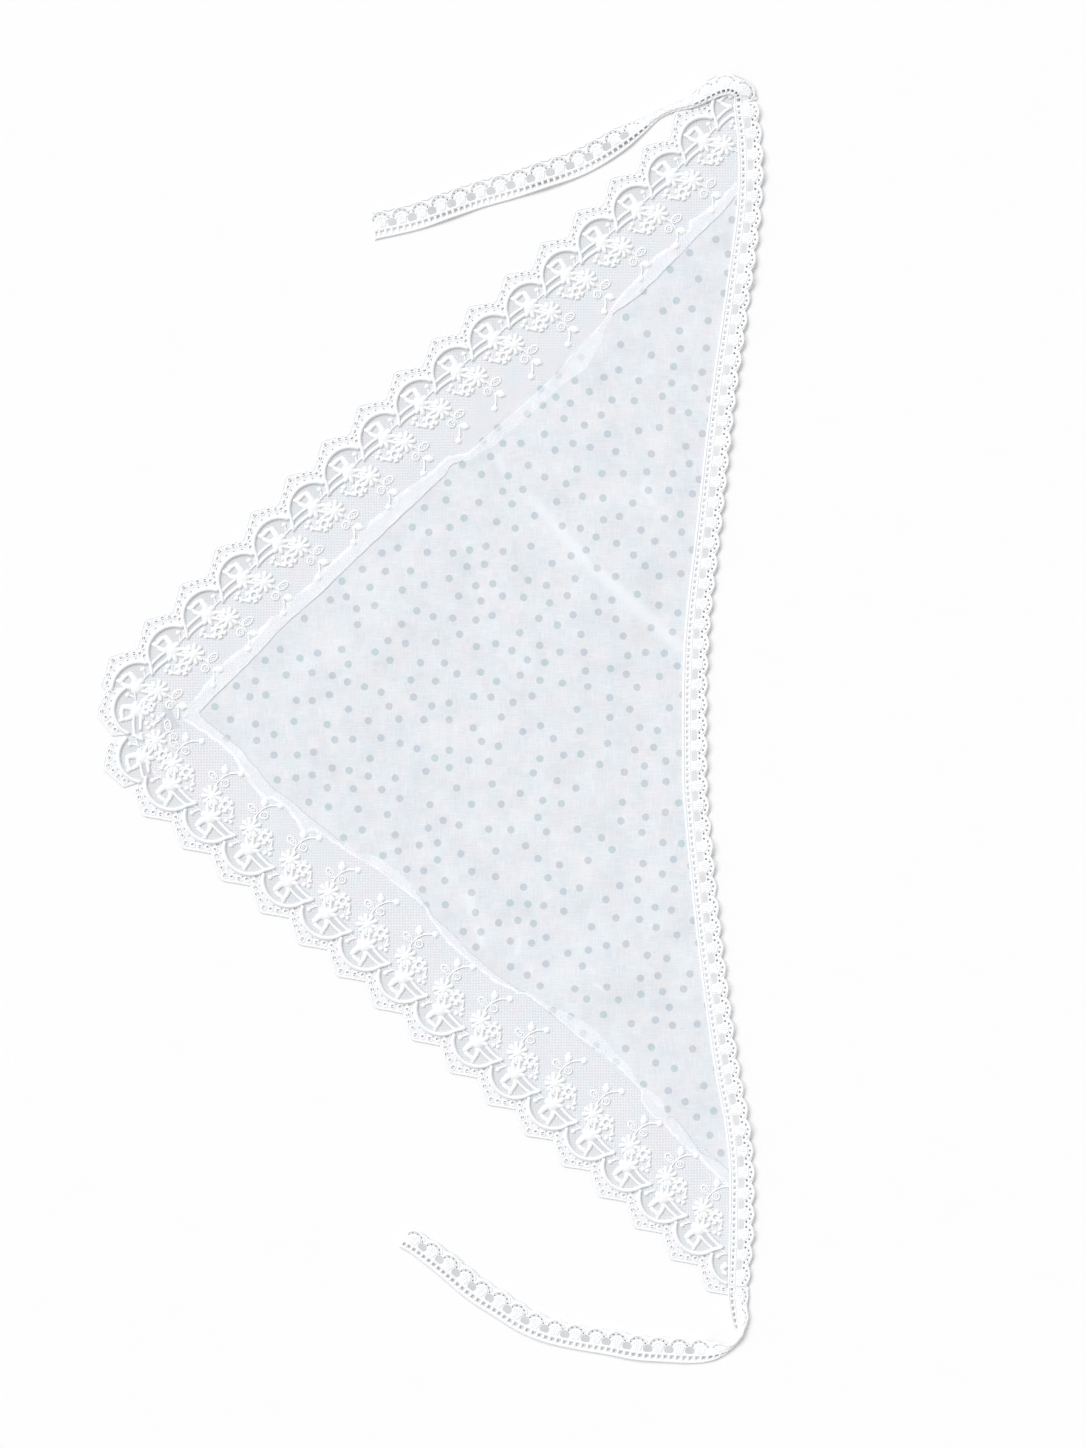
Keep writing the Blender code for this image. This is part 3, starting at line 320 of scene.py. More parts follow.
SIDE_HOLE, TIE_HOLE = 0.72, 0.50        # radius of a hole, where it is sewn on and hangs free
FAN_RING = (
    # reach, angles of the ring of painted shade that the holes stand in, once out and once back
    (5.1, (28.0, 48.0, 69.0, 90.0, 111.0, 132.0, 152.0)),
    (3.7, (152.0, 132.0, 111.0, 90.0, 69.0, 48.0, 28.0)),
)
FAN_RIBS = (38.0, 64.0, 90.0, 116.0, 142.0)
RIB_ROOT = (1.6, 5.4)       # reach along, and place out, of the root of a rib
RIB_REACH, RIB_DROP = (3.1, 3.0), 0.4       # of its tip, from a point this far below the middle
RIB_THREAD = ((0.8, 1.1, 1.2), 0.4, 1.7)    # widths, height, step
FAN_ARCS = (
    # reach along, reach out, first and last angle, width
    (5.5, 5.9, 24.0, 156.0, 1.0), (3.0, 2.7, 0.0, 180.0, 0.9),
)
ARC_POINTS, ARC_HEIGHT, ARC_STEP = 6, 0.5, 1.5
RUNG = (1.4, 3.1, 4.7)      # out, of the bars between the ladder's holes
RUNG_THREAD = ((1.1, 1.1), 0.4, 1.6)        # widths, height, step
LINE_INSET, RUNG_INSET = 0.4, 0.8           # of the long lines and the bars, from a strip's ends
LINE_STEP = 2.0
RIM = (0.35, 0.6, 0.25, 1.6)    # thread inside a tie's scalloped edge, grey with painted shade: how far, width, height, step
BRAID_SUNK = 0.08           # how deep the threads sink into the braid
WINDOW_CURL, HOLE_CURL = 80.0, 240.0    # a strip closed more than this has no windows, or holes
FOLD_CURL = 30.0            # degrees of curl that one millimetre of lost width counts for
END_MARGIN = 0.14           # how far a strip's cloth reaches past the ends of its middle line
INNER_ROWS = (1.2, 4.9, 8.6, 12.2)          # out, of the rows of points inside its mesh
FAN_SHARES = (0.855, 0.925, 0.97, 1.0, 1.0, 0.97, 0.925)     # of the width, window to window
TIE_VALLEY = 0.5            # depth of the valleys between the fans of a tie, as a share
BRAID_LINES = (
    # out, width, height of a raised line along the whole strip
    (0.75, 1.3, 0.50), (4.75, 0.8, 0.45),
)

# ---- raised threads
THREAD_STEP = 1.3           # from one section of a strand to the next, where no step is given
CAP_LENGTH, CAP_MOST = 0.45, 0.3    # of a rounded end: share of the width, at most of the length
SMOOTHED = (0.3, 0.4)       # reach along an open and a closed strand that its direction comes from
PROFILE = ((-0.5, 0.0), (-0.45, 0.6), (-0.22, 0.95), (0.22, 0.95), (0.45, 0.6), (0.5, 0.0))
CAP = ((0.0, 0.5), (0.35, 0.83), (1.0, 1.0))    # how full a strand is over its rounded end
DOME = ((1.0, 0.0), (0.8, 0.62), (0.42, 0.94))  # rings of a bud: share of its radius, and height


# ---- points and lines
def between(start, end, share):
    """A value part of the way from start to end."""
    return start + (end - start) * share


def evenly(start, end, count):
    """Values from start to end in a number of even steps."""
    return [between(start, end, number / count) for number in range(count + 1)]


def clamped(value):
    """The value, kept between 0 and 1."""
    return min(max(value, 0.0), 1.0)


def wobble(x, y, z):
    """Smooth noise, always the same at the same place; along a line, y and z are its seed."""
    return noise.noise(Vector((x, y, z)))


def unit(start, end):
    """The unit vector from one point towards another."""
    size = math.dist(start[:2], end[:2])
    return (end[0] - start[0]) / size, (end[1] - start[1]) / size


def around(x, y, angle, reach, rise=None):
    """The point at some degrees on a circle, or on an ellipse whose second radius is rise."""
    turn = math.radians(angle)
    return x + reach * math.cos(turn), y + (reach if rise is None else rise) * math.sin(turn)


def circle(x, y, radius, corners):
    """A round loop."""
    return [around(x, y, 360.0 * number / corners, radius) for number in range(corners)]


def ellipse(x, y, half_length, half_width, turn, corners=12):
    """A loop round an ellipse that is turned by some degrees."""
    across, up = around(0.0, 0.0, turn, 1.0)
    loop = [around(0.0, 0.0, 360.0 * number / corners, half_length, half_width)
            for number in range(corners)]
    return [(x + a * across - b * up, y + a * up + b * across) for a, b in loop]


def catmull_rom(p0, p1, p2, p3, share):
    """A point between p1 and p2 on the smooth curve through four points."""
    square, cube = share * share, share ** 3
    return tuple(
        0.5 * (2 * b + (c - a) * share + (2 * a - 5 * b + 4 * c - d) * square
               + (3 * b - a - 3 * c + d) * cube)
        for a, b, c, d in zip(p0, p1, p2, p3)
    )


class Path:
    """A smooth curve through given rows, measured by its length; more columns run along it."""

    def __init__(self, rows, steps=12):
        first, last = ([2 * a - b for a, b in zip(end, inner)]
                       for end, inner in ((rows[0], rows[1]), (rows[-1], rows[-2])))
        spans = [first, *rows, last]
        self.samples = [catmull_rom(*four, step / steps)
                        for four in zip(spans, spans[1:], spans[2:], spans[3:])
                        for step in range(steps)]
        self.samples.append(rows[-1])
        self.lengths = list(accumulate((math.dist(start[:2], end[:2])
                                        for start, end in pairwise(self.samples)), initial=0.0))
        self.length = self.lengths[-1]

    def at(self, length):
        """All columns at a length along the curve, straight on past its ends."""
        index = min(max(bisect_right(self.lengths, length) - 1, 0), len(self.samples) - 2)
        share = (length - self.lengths[index]) / (self.lengths[index + 1] - self.lengths[index])
        shares = share, share, *[clamped(share)] * (len(self.samples[0]) - 2)
        return [between(*ends) for ends in zip(*self.samples[index:index + 2], shares)]

    def direction(self, length, reach=1.5):
        """Unit vector along the curve, from a short stretch on both sides."""
        return unit(self.at(length - reach), self.at(length + reach))

    def beside(self, length, out):
        """The point a distance to the right of the curve."""
        x, y = self.at(length)[:2]
        dx, dy = self.direction(length)
        return x + out * dy, y - out * dx


def table_value(rows, key, column):
    """A column of a table that is sorted by its first column, read smoothly between its rows."""
    if key <= rows[0][0]:
        return rows[0][column]
    for before, after in pairwise(rows):
        if key <= after[0]:
            share = (key - before[0]) / (after[0] - before[0])
            return between(before[column], after[column], share * share * (3 - 2 * share))
    return rows[-1][column]


def edges_of(loop):
    """Every edge of a closed loop."""
    return list(zip(loop, loop[1:] + loop[:1]))


def signed_area(loop):
    """The area of a loop, positive where it runs anticlockwise."""
    return sum(x0 * y1 - x1 * y0 for (x0, y0), (x1, y1) in edges_of(loop)) / 2


def is_inside(point, edges):
    """Whether a point lies inside closed edges, by counting crossings."""
    x, y = point
    crossings = 0
    for (x0, y0), (x1, y1) in edges:
        if (y0 > y) != (y1 > y) and x < x0 + (x1 - x0) * (y - y0) / (y1 - y0):
            crossings += 1
    return crossings % 2 == 1


def clearance(point, edges):
    """Distance from a point to the nearest edge."""
    x, y = point
    nearest = math.inf
    for (x0, y0), (x1, y1) in edges:
        dx, dy = x1 - x0, y1 - y0
        share = clamped(((x - x0) * dx + (y - y0) * dy) / (dx * dx + dy * dy))
        nearest = min(nearest, math.hypot(x - x0 - share * dx, y - y0 - share * dy))
    return nearest


def shifted(line, distance):
    """A line of points moved to its left."""
    moved = []
    for before, (x, y), after in zip([line[0], *line], line, [*line[1:], line[-1]]):
        dx, dy = unit(before, after)
        moved.append((x - dy * distance, y + dx * distance))
    return moved


def one_side(line, side, far=900.0):
    """Everything on one side of a line of points: 1 for its left, -1 for its right."""
    ends = []
    for inner, end in ((line[1], line[0]), (line[-2], line[-1])):
        dx, dy = unit(inner, end)
        ends.append((end[0] + dx * far, end[1] + dy * far))
    dx, dy = unit(*ends)
    back = [(x - dy * side * far, y + dx * side * far) for x, y in ends[::-1]]
    return [ends[0], *line, ends[1], *back]


def triangulate(loops, points=()):
    """Triangles over loops and loose points, with the loops that hold each triangle."""
    vertices, faces = [], []
    for loop in loops:
        faces.append(list(range(len(vertices), len(vertices) + len(loop))))
        vertices += [Vector(point) for point in loop]
    vertices += [Vector(point) for point in points]
    found = delaunay_2d_cdt(vertices, [], faces, 0, 1e-5, True)
    return found[0], found[2], found[5]


def anticlockwise(loop):
    """The loop, turned round where it runs clockwise."""
    return list(loop) if signed_area(loop) > 0 else list(loop[::-1])


def region(keep, clips):
    """Outline of the largest area that is inside any kept loop and inside every clipping loop."""
    places, triangles, holders = triangulate([anticlockwise(loop) for loop in (*keep, *clips)])
    clipping = range(len(keep), len(keep) + len(clips))
    inside = set()
    for triangle, held in zip(triangles, holders):
        if any(number < len(keep) for number in held) and all(clip in held for clip in clipping):
            inside.update(edges_of(triangle))
    border = {start: end for start, end in inside if (end, start) not in inside}
    found = []
    while border:
        start, step = border.popitem()
        loop = [start]
        while step != start:
            loop.append(step)
            step = border.pop(step)
        found.append([tuple(places[number]) for number in loop])
    return max(found, key=lambda loop: abs(signed_area(loop)))


# ---- meshes
def placed(name, data):
    """A new object in the scene."""
    made = bpy.data.objects.new(name, data)
    bpy.context.scene.collection.objects.link(made)
    return made


class Pile:
    """Vertices, faces, material slots and stitch coordinates that become one object."""

    def __init__(self):
        self.vertices, self.faces, self.slots, self.stitches = [], [], [], []

    def add(self, vertices, stitches, faces, slots):
        """Adds faces over new vertices; stitches are along and across in millimetres."""
        first = len(self.vertices)
        self.vertices += vertices
        self.stitches += stitches
        self.faces += [[first + number for number in face] for face in faces]
        self.slots += slots

    def make(self, name, materials):
        """The scene object, riding on the shawl's body."""
        mesh = bpy.data.meshes.new(name)
        mesh.from_pydata([((x - MIDDLE[0]) * METRES, (y - MIDDLE[1]) * METRES, z * METRES)
                          for x, y, z in self.vertices], [], self.faces)
        layer = mesh.uv_layers.new(name="stitch")
        for loop in mesh.loops:
            layer.data[loop.index].uv = self.stitches[loop.vertex_index]
        for material in materials:
            mesh.materials.append(material)
        mesh.polygons.foreach_set("material_index", self.slots)
        mesh.shade_smooth()
        mesh.set_sharp_from_angle(angle=math.radians(SHARP_FROM))
        mesh.update()
        made = placed(name, mesh)
        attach(made, BODY)
        return made


def shell(pile, outline, place, low, high, holes=(), patches=(), points=()):
    """A thin closed cloth over an outline less its holes; returns its area.

    place(u, v, height) sets it in space, and each patch is (loop, material slot)."""
    loops = [anticlockwise(loop) for loop in (outline, *holes, *(loop for loop, _ in patches))]
    places, triangles, holders = triangulate(loops, points)
    slot_of = [0, *[None] * len(holes), *(slot for _, slot in patches)]
    kept, slots = [], []
    for triangle, held in zip(triangles, holders):
        if 0 in held and all(slot_of[number] is not None for number in held):
            kept.append(triangle)
            slots.append(slot_of[max(held)])
    used = sorted({number for triangle in kept for number in triangle})
    rank = {number: order for order, number in enumerate(used)}
    top = [[rank[number] for number in triangle] for triangle in kept]
    below = [[number + len(used) for number in reversed(triangle)] for triangle in top]
    edges = {edge for triangle in top for edge in edges_of(triangle)}
    walls = [[end, start, start + len(used), end + len(used)] for start, end in edges
             if (end, start) not in edges]
    flat_points = [tuple(places[number]) for number in used]
    pile.add([place(*point, height) for height in (high, low) for point in flat_points],
             flat_points * 2, top + below + walls, slots * 2 + [0] * len(walls))
    return sum(signed_area([places[number] for number in triangle]) for triangle in kept)


def strand(pile, points, widths, height, place, base, step=THREAD_STEP, closed=False, slot=0):
    """A raised strand of thread along a smooth curve, round at its ends where it has any.

    widths are evenly spaced from its start to its end, and a negative height hangs down."""
    path = Path([*points, points[0]] if closed else points, 6)
    count = max(round(path.length / step), 2)
    stations = [(along, 1.0) for along in evenly(0.0, path.length, count)]
    if closed:
        stations.pop()
    else:
        cap = min(CAP_LENGTH * max(widths), CAP_MOST * path.length)
        inner = [station for station in stations
                 if 1.4 * cap < station[0] < path.length - 1.4 * cap]
        first = [(cap * share, fullness) for share, fullness in CAP]
        stations = first + inner + [(path.length - along, full) for along, full in first[::-1]]
    reach = SMOOTHED[closed]
    vertices, stitches = [], []
    for along, fullness in stations:
        share = min(along / path.length, 1.0) * (len(widths) - 1)
        number = min(int(share), len(widths) - 2)
        width = between(widths[number], widths[number + 1], share - number)
        x, y = path.at(along)[:2]
        dx, dy = unit(*(path.at(end % path.length if closed else end)
                        for end in (along - reach, along + reach)))
        for across, up in PROFILE:
            across *= width * fullness
            vertices.append(place(x + dy * across, y - dx * across, base + up * height * fullness))
            stitches.append((along, across))
    rows, wide = len(stations), len(PROFILE)
    faces = []
    for row, column in product(range(rows if closed else rows - 1), range(wide)):
        after, beside = (row + 1) % rows * wide, (column + 1) % wide
        faces.append([row * wide + column, after + column, after + beside, row * wide + beside])
    if not closed:
        faces.append(list(range(wide)))
        faces.append([(rows - 1) * wide + column for column in reversed(range(wide))])
    if height < 0.0:
        faces = [face[::-1] for face in faces]
    pile.add(vertices, stitches, faces, [slot] * len(faces))


def dome(pile, x, y, radius, height, place, base, corners=10):
    """A small raised disc of satin stitch."""
    points = [(*point, up) for share, up in DOME
              for point in circle(x, y, radius * share, corners)]
    points.append((x, y, 1.0))
    faces = [list(reversed(range(corners)))]
    for ring, number in product(range(len(DOME)), range(corners)):
        first, after = ring * corners + number, ring * corners + (number + 1) % corners
        faces.append([first, after, len(points) - 1] if ring == len(DOME) - 1
                     else [first, after, after + corners, first + corners])
    pile.add([place(px, py, base + up * height) for px, py, up in points],
             [point[:2] for point in points], faces, [0] * len(faces))


def shown_runs(points, place, shows, least=1.2, step=0.8):
    """The stretches of a curve that show, once place has set them down."""
    path = Path(points, 6)
    count = max(round(path.length / step), 2)
    line = [tuple(path.at(along)[:2]) for along in evenly(0.0, path.length, count)]
    seen = [shows(place(*point)) for point in line]
    if all(seen):
        return [points]
    runs = [[point for point, _ in run]
            for shown, run in groupby(zip(line, seen), key=lambda row: row[1]) if shown]
    return [run for run in runs if len(run) > 2 and math.dist(run[0], run[-1]) > least]


# ---- materials
class Surface:
    """A Principled material and short ways to add nodes to it."""

    def __init__(self, name, roughness, sheen=0.0):
        self.material = bpy.data.materials.new(name)
        self.material.use_nodes = True
        self.nodes = self.material.node_tree.nodes
        self.links = self.material.node_tree.links
        self.shader = self.nodes["Principled BSDF"]
        self.shader.inputs["Roughness"].default_value = roughness
        self.shader.inputs["Sheen Weight"].default_value = sheen
        self.shader.inputs["Specular IOR Level"].default_value = 0.25

    def add(self, kind, inputs, output=0, **settings):
        """The output of a new node; an input that is a socket is linked."""
        node = self.nodes.new(kind)
        for key, value in settings.items():
            setattr(node, key, value)
        for key, value in inputs.items():
            if isinstance(value, bpy.types.NodeSocket):
                self.links.new(value, node.inputs[key])
            else:
                node.inputs[key].default_value = value
        return node.outputs[output]

    def math(self, operation, a, b=0.0):
        """The result of a Math node."""
        return self.add("ShaderNodeMath", {0: a, 1: b}, operation=operation)

    def vector(self, operation, a, b, output=0):
        """The result of a Vector Math node."""
        return self.add("ShaderNodeVectorMath", {0: a, 1: b}, output, operation=operation)

    def place(self, scale):
        """Object coordinates, scaled."""
        coordinates = self.add("ShaderNodeTexCoord", {}, "Object")
        return self.add("ShaderNodeMapping", {"Vector": coordinates, "Scale": scale})

    def stitch(self, scale):
        """Coordinates along and across a strand, in millimetres, scaled."""
        stitch = self.add("ShaderNodeUVMap", {}, uv_map="stitch")
        return self.add("ShaderNodeMapping", {"Vector": stitch, "Scale": scale})

    def noise(self, scale, detail=2.0, roughness=0.5):
        """Noise over the object, from 0 to 1."""
        return self.add("ShaderNodeTexNoise", {"Vector": self.place(scale), "Scale": 1.0,
                                               "Detail": detail, "Roughness": roughness})

    def blend(self, share, dark, light, how="MIX"):
        """A colour between two, by a share from 0 to 1."""
        return self.add("ShaderNodeMix", {0: share, 6: dark, 7: light}, 2,
                        data_type="RGBA", blend_type=how)

    def tinted(self, colour):
        """A colour with faint clouds of green and pink, as in washed cotton."""
        clouds = self.range(self.noise((75.0,) * 3), 0.35, 0.65)
        tint = self.blend(clouds, (0.955, 0.985, 1.0, 1.0), (1.0, 0.972, 0.985, 1.0))
        return self.blend(1.0, colour, tint, "MULTIPLY")

    def range(self, value, low, high, to_low=0.0, to_high=1.0):
        """A value mapped from one range to another, clamped."""
        return self.add("ShaderNodeMapRange", {0: value, 1: low, 2: high, 3: to_low, 4: to_high})

    def wire(self, name, socket):
        """Links a socket to an input of the shader."""
        self.links.new(socket, self.shader.inputs[name])

    def bump(self, height, strength, distance):
        """Adds a bump of some height in metres."""
        self.wire("Normal", self.add("ShaderNodeBump", {
            "Height": height, "Strength": strength, "Distance": distance}))


def srgb(red, green, blue):
    """A colour from its 0 to 255 values."""
    return *(((value / 255 + 0.055) / 1.055) ** 2.4 for value in (red, green, blue)), 1.0


def woven(surface):
    """Slubby threads of a loose plain weave, as a height from 0 to 1."""
    return surface.math("MAXIMUM", surface.noise((1500.0, 120.0, 1.0)),
                        surface.noise((120.0, 1500.0, 1.0)))


def crease_highlights(surface):
    """How strongly the painted highlight along a crease or fold lightens the cloth at a place, from 0
    to 1.
    """
    place = surface.place((1.0 / METRES,) * 3)
    total = 0.0
    for x, y, end_x, end_y, middle, halo, strength in CREASE_HIGHLIGHTS:
        length = math.dist((x, y), (end_x, end_y))
        dx, dy = unit((x, y), (end_x, end_y))
        offset = surface.vector("SUBTRACT", place, (x - MIDDLE[0], y - MIDDLE[1], 0.0))
        along = surface.vector("DOT_PRODUCT", offset, (dx, dy, 0.0), 1)
        across = surface.vector("DOT_PRODUCT", offset, (dy, -dx, 0.0), 1)
        mark = surface.range(surface.math("ABSOLUTE", across), middle, halo, strength, 0.0)
        for end, full in ((0.0, 0.25 * length), (length, 0.75 * length)):
            mark = surface.math("MULTIPLY", mark, surface.range(along, end, full))
        total = surface.math("MAXIMUM", mark, total)
    return total


def voile_material(name, dark, light, highlit):
    """Fine cotton voile, or a printed dot on it, with painted highlights along its creases and folds.
    """
    surface = Surface(name, 0.85, 0.15)
    threads = woven(surface)
    clouds = surface.noise((45.0,) * 3, 6.0, 0.75)
    share = surface.math("ADD", surface.math("MULTIPLY", threads, 0.5),
                         surface.math("MULTIPLY", clouds, 0.5))
    plain = surface.tinted(surface.blend(surface.range(share, 0.40, 0.66), dark, light))
    # painted highlight: the colour turns lighter along the creases and folds
    surface.wire("Base Color", surface.blend(crease_highlights(surface), plain, highlit))
    surface.bump(threads, 0.35, 0.00012)
    return surface.material


def net_material(name, cell, solid, dark, light):
    """Tulle: threads round small open cells. solid is how much of the open part is veiled."""
    surface = Surface(name, 0.8, 0.1)
    cells = surface.add("ShaderNodeTexVoronoi",
                        {"Vector": surface.place((1.0,) * 3), "Scale": 1.0 / (cell * METRES),
                         "Randomness": 0.45},
                        feature="DISTANCE_TO_EDGE", voronoi_dimensions="2D")
    threads = surface.range(cells, 0.10, 0.22, 1.0, solid)
    surface.wire("Alpha", threads)
    surface.wire("Base Color", surface.tinted(surface.blend(surface.noise((60.0,) * 3), dark, light)))
    surface.bump(threads, 0.4, 0.00008)
    return surface.material


def satin_material(name, dark, light, thread=0.42):
    """Satin stitch: fine threads across each strand."""
    surface = Surface(name, 0.5, 0.2)
    wave = surface.add("ShaderNodeTexWave", {"Vector": surface.stitch((1.0 / thread, 1.0, 1.0)),
                                             "Scale": 0.314, "Distortion": 0.6}, 1,
                       wave_type="BANDS", bands_direction="X")
    surface.wire("Base Color", surface.blend(wave, dark, light))
    surface.bump(wave, 0.5, 0.00010)
    return surface.material


def braid_material(name, dark, light):
    """Cotton thread of the fan edging, knotted and slightly fuzzy."""
    surface = Surface(name, 0.75, 0.25)
    knots = surface.add("ShaderNodeTexVoronoi",
                        {"Vector": surface.place((1.0,) * 3), "Scale": 1300.0})
    fuzz = surface.noise((1500.0,) * 3, 3.0)
    share = surface.math("ADD", surface.math("MULTIPLY", knots, 0.6),
                         surface.math("MULTIPLY", fuzz, 0.5))
    surface.wire("Base Color", surface.blend(surface.range(share, 0.2, 0.9), light, dark))
    surface.bump(share, 0.6, 0.00025)
    return surface.material


def sheer_material(name, dark, light, least, most):
    """Sheer cloth, between two opacities, through which the cloth below shows a little."""
    surface = Surface(name, 0.85, 0.1)
    clouds = surface.noise((90.0,) * 3, 3.0)
    surface.wire("Base Color", surface.blend(clouds, dark, light))
    surface.wire("Alpha", surface.range(clouds, 0.3, 0.7, least, most))
    surface.bump(woven(surface), 0.4, 0.00015)
    return surface.material


def floor_material():
    """Plain white paper."""
    surface = Surface("floor_white", 0.95)
    surface.wire("Base Color", surface.blend(surface.noise((40.0,) * 3),
                                             (0.905, 0.905, 0.905, 1.0), (0.915, 0.915, 0.915, 1.0)))
    return surface.material


# Colours of the painted highlights along the creases, on the voile and on its dots.
HIGHLIT_VOILE, HIGHLIT_DOT = srgb(240, 243, 247), srgb(216, 222, 228)
voile = voile_material("voile_white", srgb(217, 221, 225), srgb(237, 239, 241), HIGHLIT_VOILE)
dot_teal = voile_material("dot_teal", srgb(188, 202, 204), srgb(206, 216, 217), HIGHLIT_DOT)
dot_blue = voile_material("dot_blue", srgb(190, 199, 208), srgb(207, 214, 220), HIGHLIT_DOT)
dot_grey = voile_material("dot_grey", srgb(193, 198, 203), srgb(210, 214, 217), HIGHLIT_DOT)
tulle = net_material("tulle_net", 0.85, 0.45, srgb(244, 246, 250), srgb(250, 252, 254))
dense_tulle = net_material("dense_tulle", 0.75, 0.8, srgb(245, 246, 248), srgb(251, 251, 253))
doubled_tulle = net_material("doubled_tulle", 0.85, 0.8, srgb(217, 219, 224), srgb(225, 227, 231))
# Painted shade: darker net inside each arch and between the stems, where the raised threads shade it.
arch_painted_shade = net_material("arch_painted_shade", 0.85, 0.7, srgb(228, 230, 232), srgb(235, 237, 239))
stem_painted_shade = net_material("stem_painted_shade", 0.85, 0.7, srgb(219, 221, 224), srgb(226, 228, 231))
satin = satin_material("satin_stitch", srgb(243, 244, 245), srgb(252, 252, 253))
braid = braid_material("cotton_braid", srgb(240, 241, 244), srgb(252, 252, 253))
# Grey sheets of painted shade for the windows of the edging and of the ties.
side_painted_shade = sheer_material("edging_painted_shade", srgb(226, 228, 230), srgb(233, 235, 237), 0.8, 0.95)
tie_painted_shade = sheer_material("tie_painted_shade", srgb(209, 211, 215), srgb(222, 224, 227), 0.8, 0.95)
# A grey sheet of painted shade in a ring round each fan of a tie.
fan_painted_shade = sheer_material("fan_painted_shade", srgb(228, 230, 233), srgb(238, 240, 242), 0.8, 0.95)
band = sheer_material("pressed_allowance", srgb(232, 233, 236), srgb(240, 241, 243), 0.26, 0.42)
overlock = sheer_material("overlock_thread", srgb(240, 242, 244), srgb(248, 249, 250), 0.2, 0.65)

# ---- shared lines
upper_leg = Path(UPPER_LEG)
lower_leg = Path(LOWER_LEG)
long_side = Path(LONG_SIDE)


def seam_line(leg, table, step=6.5):
    """The seam between border and panel, as points along the leg."""
    start, end = table[0][0], table[-1][0]
    return [leg.beside(along, -table_value(table, along, 1))
            for along in evenly(start, end, round((end - start) / step))]


def side_line(out, step=8.0):
    """A line beside the edging's heading, bottom to top; out is to the right of the heading."""
    count = round(long_side.length / step)
    return [long_side.beside(along, out) for along in evenly(0.0, long_side.length, count)]


def flat(x, y, height):
    """Cloth that lies on the surface."""
    return x, y, height


def dress(node, slot, *pieces):
    """Hides a solid that pieces of the scene stand for; slot is not used."""
    for piece in pieces:
        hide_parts(node)


# ---- the panel
def ripple(distance, length):
    """A smooth wave between 0 and 1."""
    return 0.5 - 0.5 * math.cos(2 * math.pi * distance / length)


def crease_height(x, y):
    """The soft pressed ridge that runs across the panel, low at both ends."""
    start, end = CREASE
    dx, dy = unit(start, end)
    along = ((x - start[0]) * dx + (y - start[1]) * dy) / math.dist(start, end)
    beside = abs((x - start[0]) * dy - (y - start[1]) * dx)
    if not 0.0 < along < 1.0 or beside > CREASE_REACH:
        return 0.0
    return CREASE_HEIGHT * math.sin(math.pi * along) * (1 - beside / CREASE_REACH)


def panel_place(x, y, height):
    """The panel lies flat inside its edges and follows its own soft waves farther in."""
    inside = min(clearance((x, y), panel_edges), FULL_WAVE)
    share = max(0.0, inside - FLAT_MARGIN) / (FULL_WAVE - FLAT_MARGIN)
    wave = PANEL_WAVE * ripple(x * WAVE_DIRECTION[0] + y * WAVE_DIRECTION[1], WAVE_LENGTH)
    wave *= ripple(y - SWELL_START, SWELL_LENGTH)
    crinkle = CRINKLE * wobble(x / CRINKLE_LENGTH, y / CRINKLE_LENGTH, 0.0)
    return x, y, height + share * (wave + crease_height(x, y) + crinkle)


def scattered_dots(outline, edges):
    """Middles of the printed dots, scattered but never close together, each with its tint."""
    draw = random.Random(DOT_SEED)
    xs, ys = zip(*outline)
    wanted = round(abs(signed_area(outline)) * DOT_DENSITY)
    dots, tries = [], 0
    while len(dots) < wanted and tries < DOT_TRIES:
        tries += 1
        point = draw.uniform(min(xs), max(xs)), draw.uniform(min(ys), max(ys))
        if any(math.dist(point, other) < DOT_SPACING for other in dots):
            continue
        if is_inside(point, edges) and clearance(point, edges) > DOT_RADIUS * EDGE_CLEAR:
            dots.append(point)
    return [(point, draw.random()) for point in dots]


def make_panel():
    """The dotted voile triangle."""
    dots = scattered_dots(panel_outline, panel_edges)
    xs, ys = zip(*panel_outline)
    grid = []
    for row in range(int((max(ys) - min(ys)) / PANEL_GRID) + 1):
        for column in range(int((max(xs) - min(xs)) / PANEL_GRID) + 1):
            point = (min(xs) + (column + 0.5 * (row % 2)) * PANEL_GRID,
                     min(ys) + row * PANEL_GRID)
            near_dot = any(math.dist(point, dot) < DOT_RADIUS * MESH_CLEAR for dot, _ in dots)
            if (not near_dot and is_inside(point, panel_edges)
                    and clearance(point, panel_edges) > PANEL_GRID / 3):
                grid.append(point)
    patches = [(circle(*dot, DOT_RADIUS, DOT_CORNERS), 1 + int(tint * 3)) for dot, tint in dots]
    pile = Pile()
    area = shell(pile, panel_outline, panel_place, *VOILE, patches=patches, points=grid)
    panel = pile.make("voile_panel", [voile, dot_teal, dot_blue, dot_grey])
    dress("panel", "voile", panel)
    xs, ys = zip(*(vertex.co.xy for vertex in panel.data.vertices))
    max(xs) - min(xs)
    max(ys) - min(ys)


# ---- the embroidered border
def leg_repeats(leg, count, pitches):
    """The repeats of a leg, each as a function that sets its points beside the leg."""
    growth = (pitches[1] - pitches[0]) / (2.0 * (count - 2))
    repeats = []
    for number in range(count):
        along = pitches[0] * number + growth * number * number
        stretch = (pitches[0] + 2 * growth * number) / PATTERN_PITCH
        repeats.append(lambda s, t, along=along, stretch=stretch:
                       leg.beside(along + s * stretch, t))
    return repeats


def round_corner(x, y, heading):
    """A repeat that stands by itself at the corner."""
    dx, dy = around(0.0, 0.0, heading, 1.0)
    return lambda s, t: (x + s * dx + t * dy, y + s * dy - t * dx)


def of_repeat(repeat, loop):
    """A loop of one repeat, set in its place."""
    return [repeat(*point) for point in loop]


def net_outline(repeats):
    """The net of some repeats in a row, from inside the seam out to the scallops."""
    scallops = [point for repeat in repeats for point in of_repeat(repeat, SCALLOP[1:])]
    first, last = repeats[0], repeats[-1]
    return [last(SCALLOP[-1][0], -BORDER_DEPTH), first(SCALLOP[0][0], -BORDER_DEPTH),
            first(*SCALLOP[0]), *scallops]


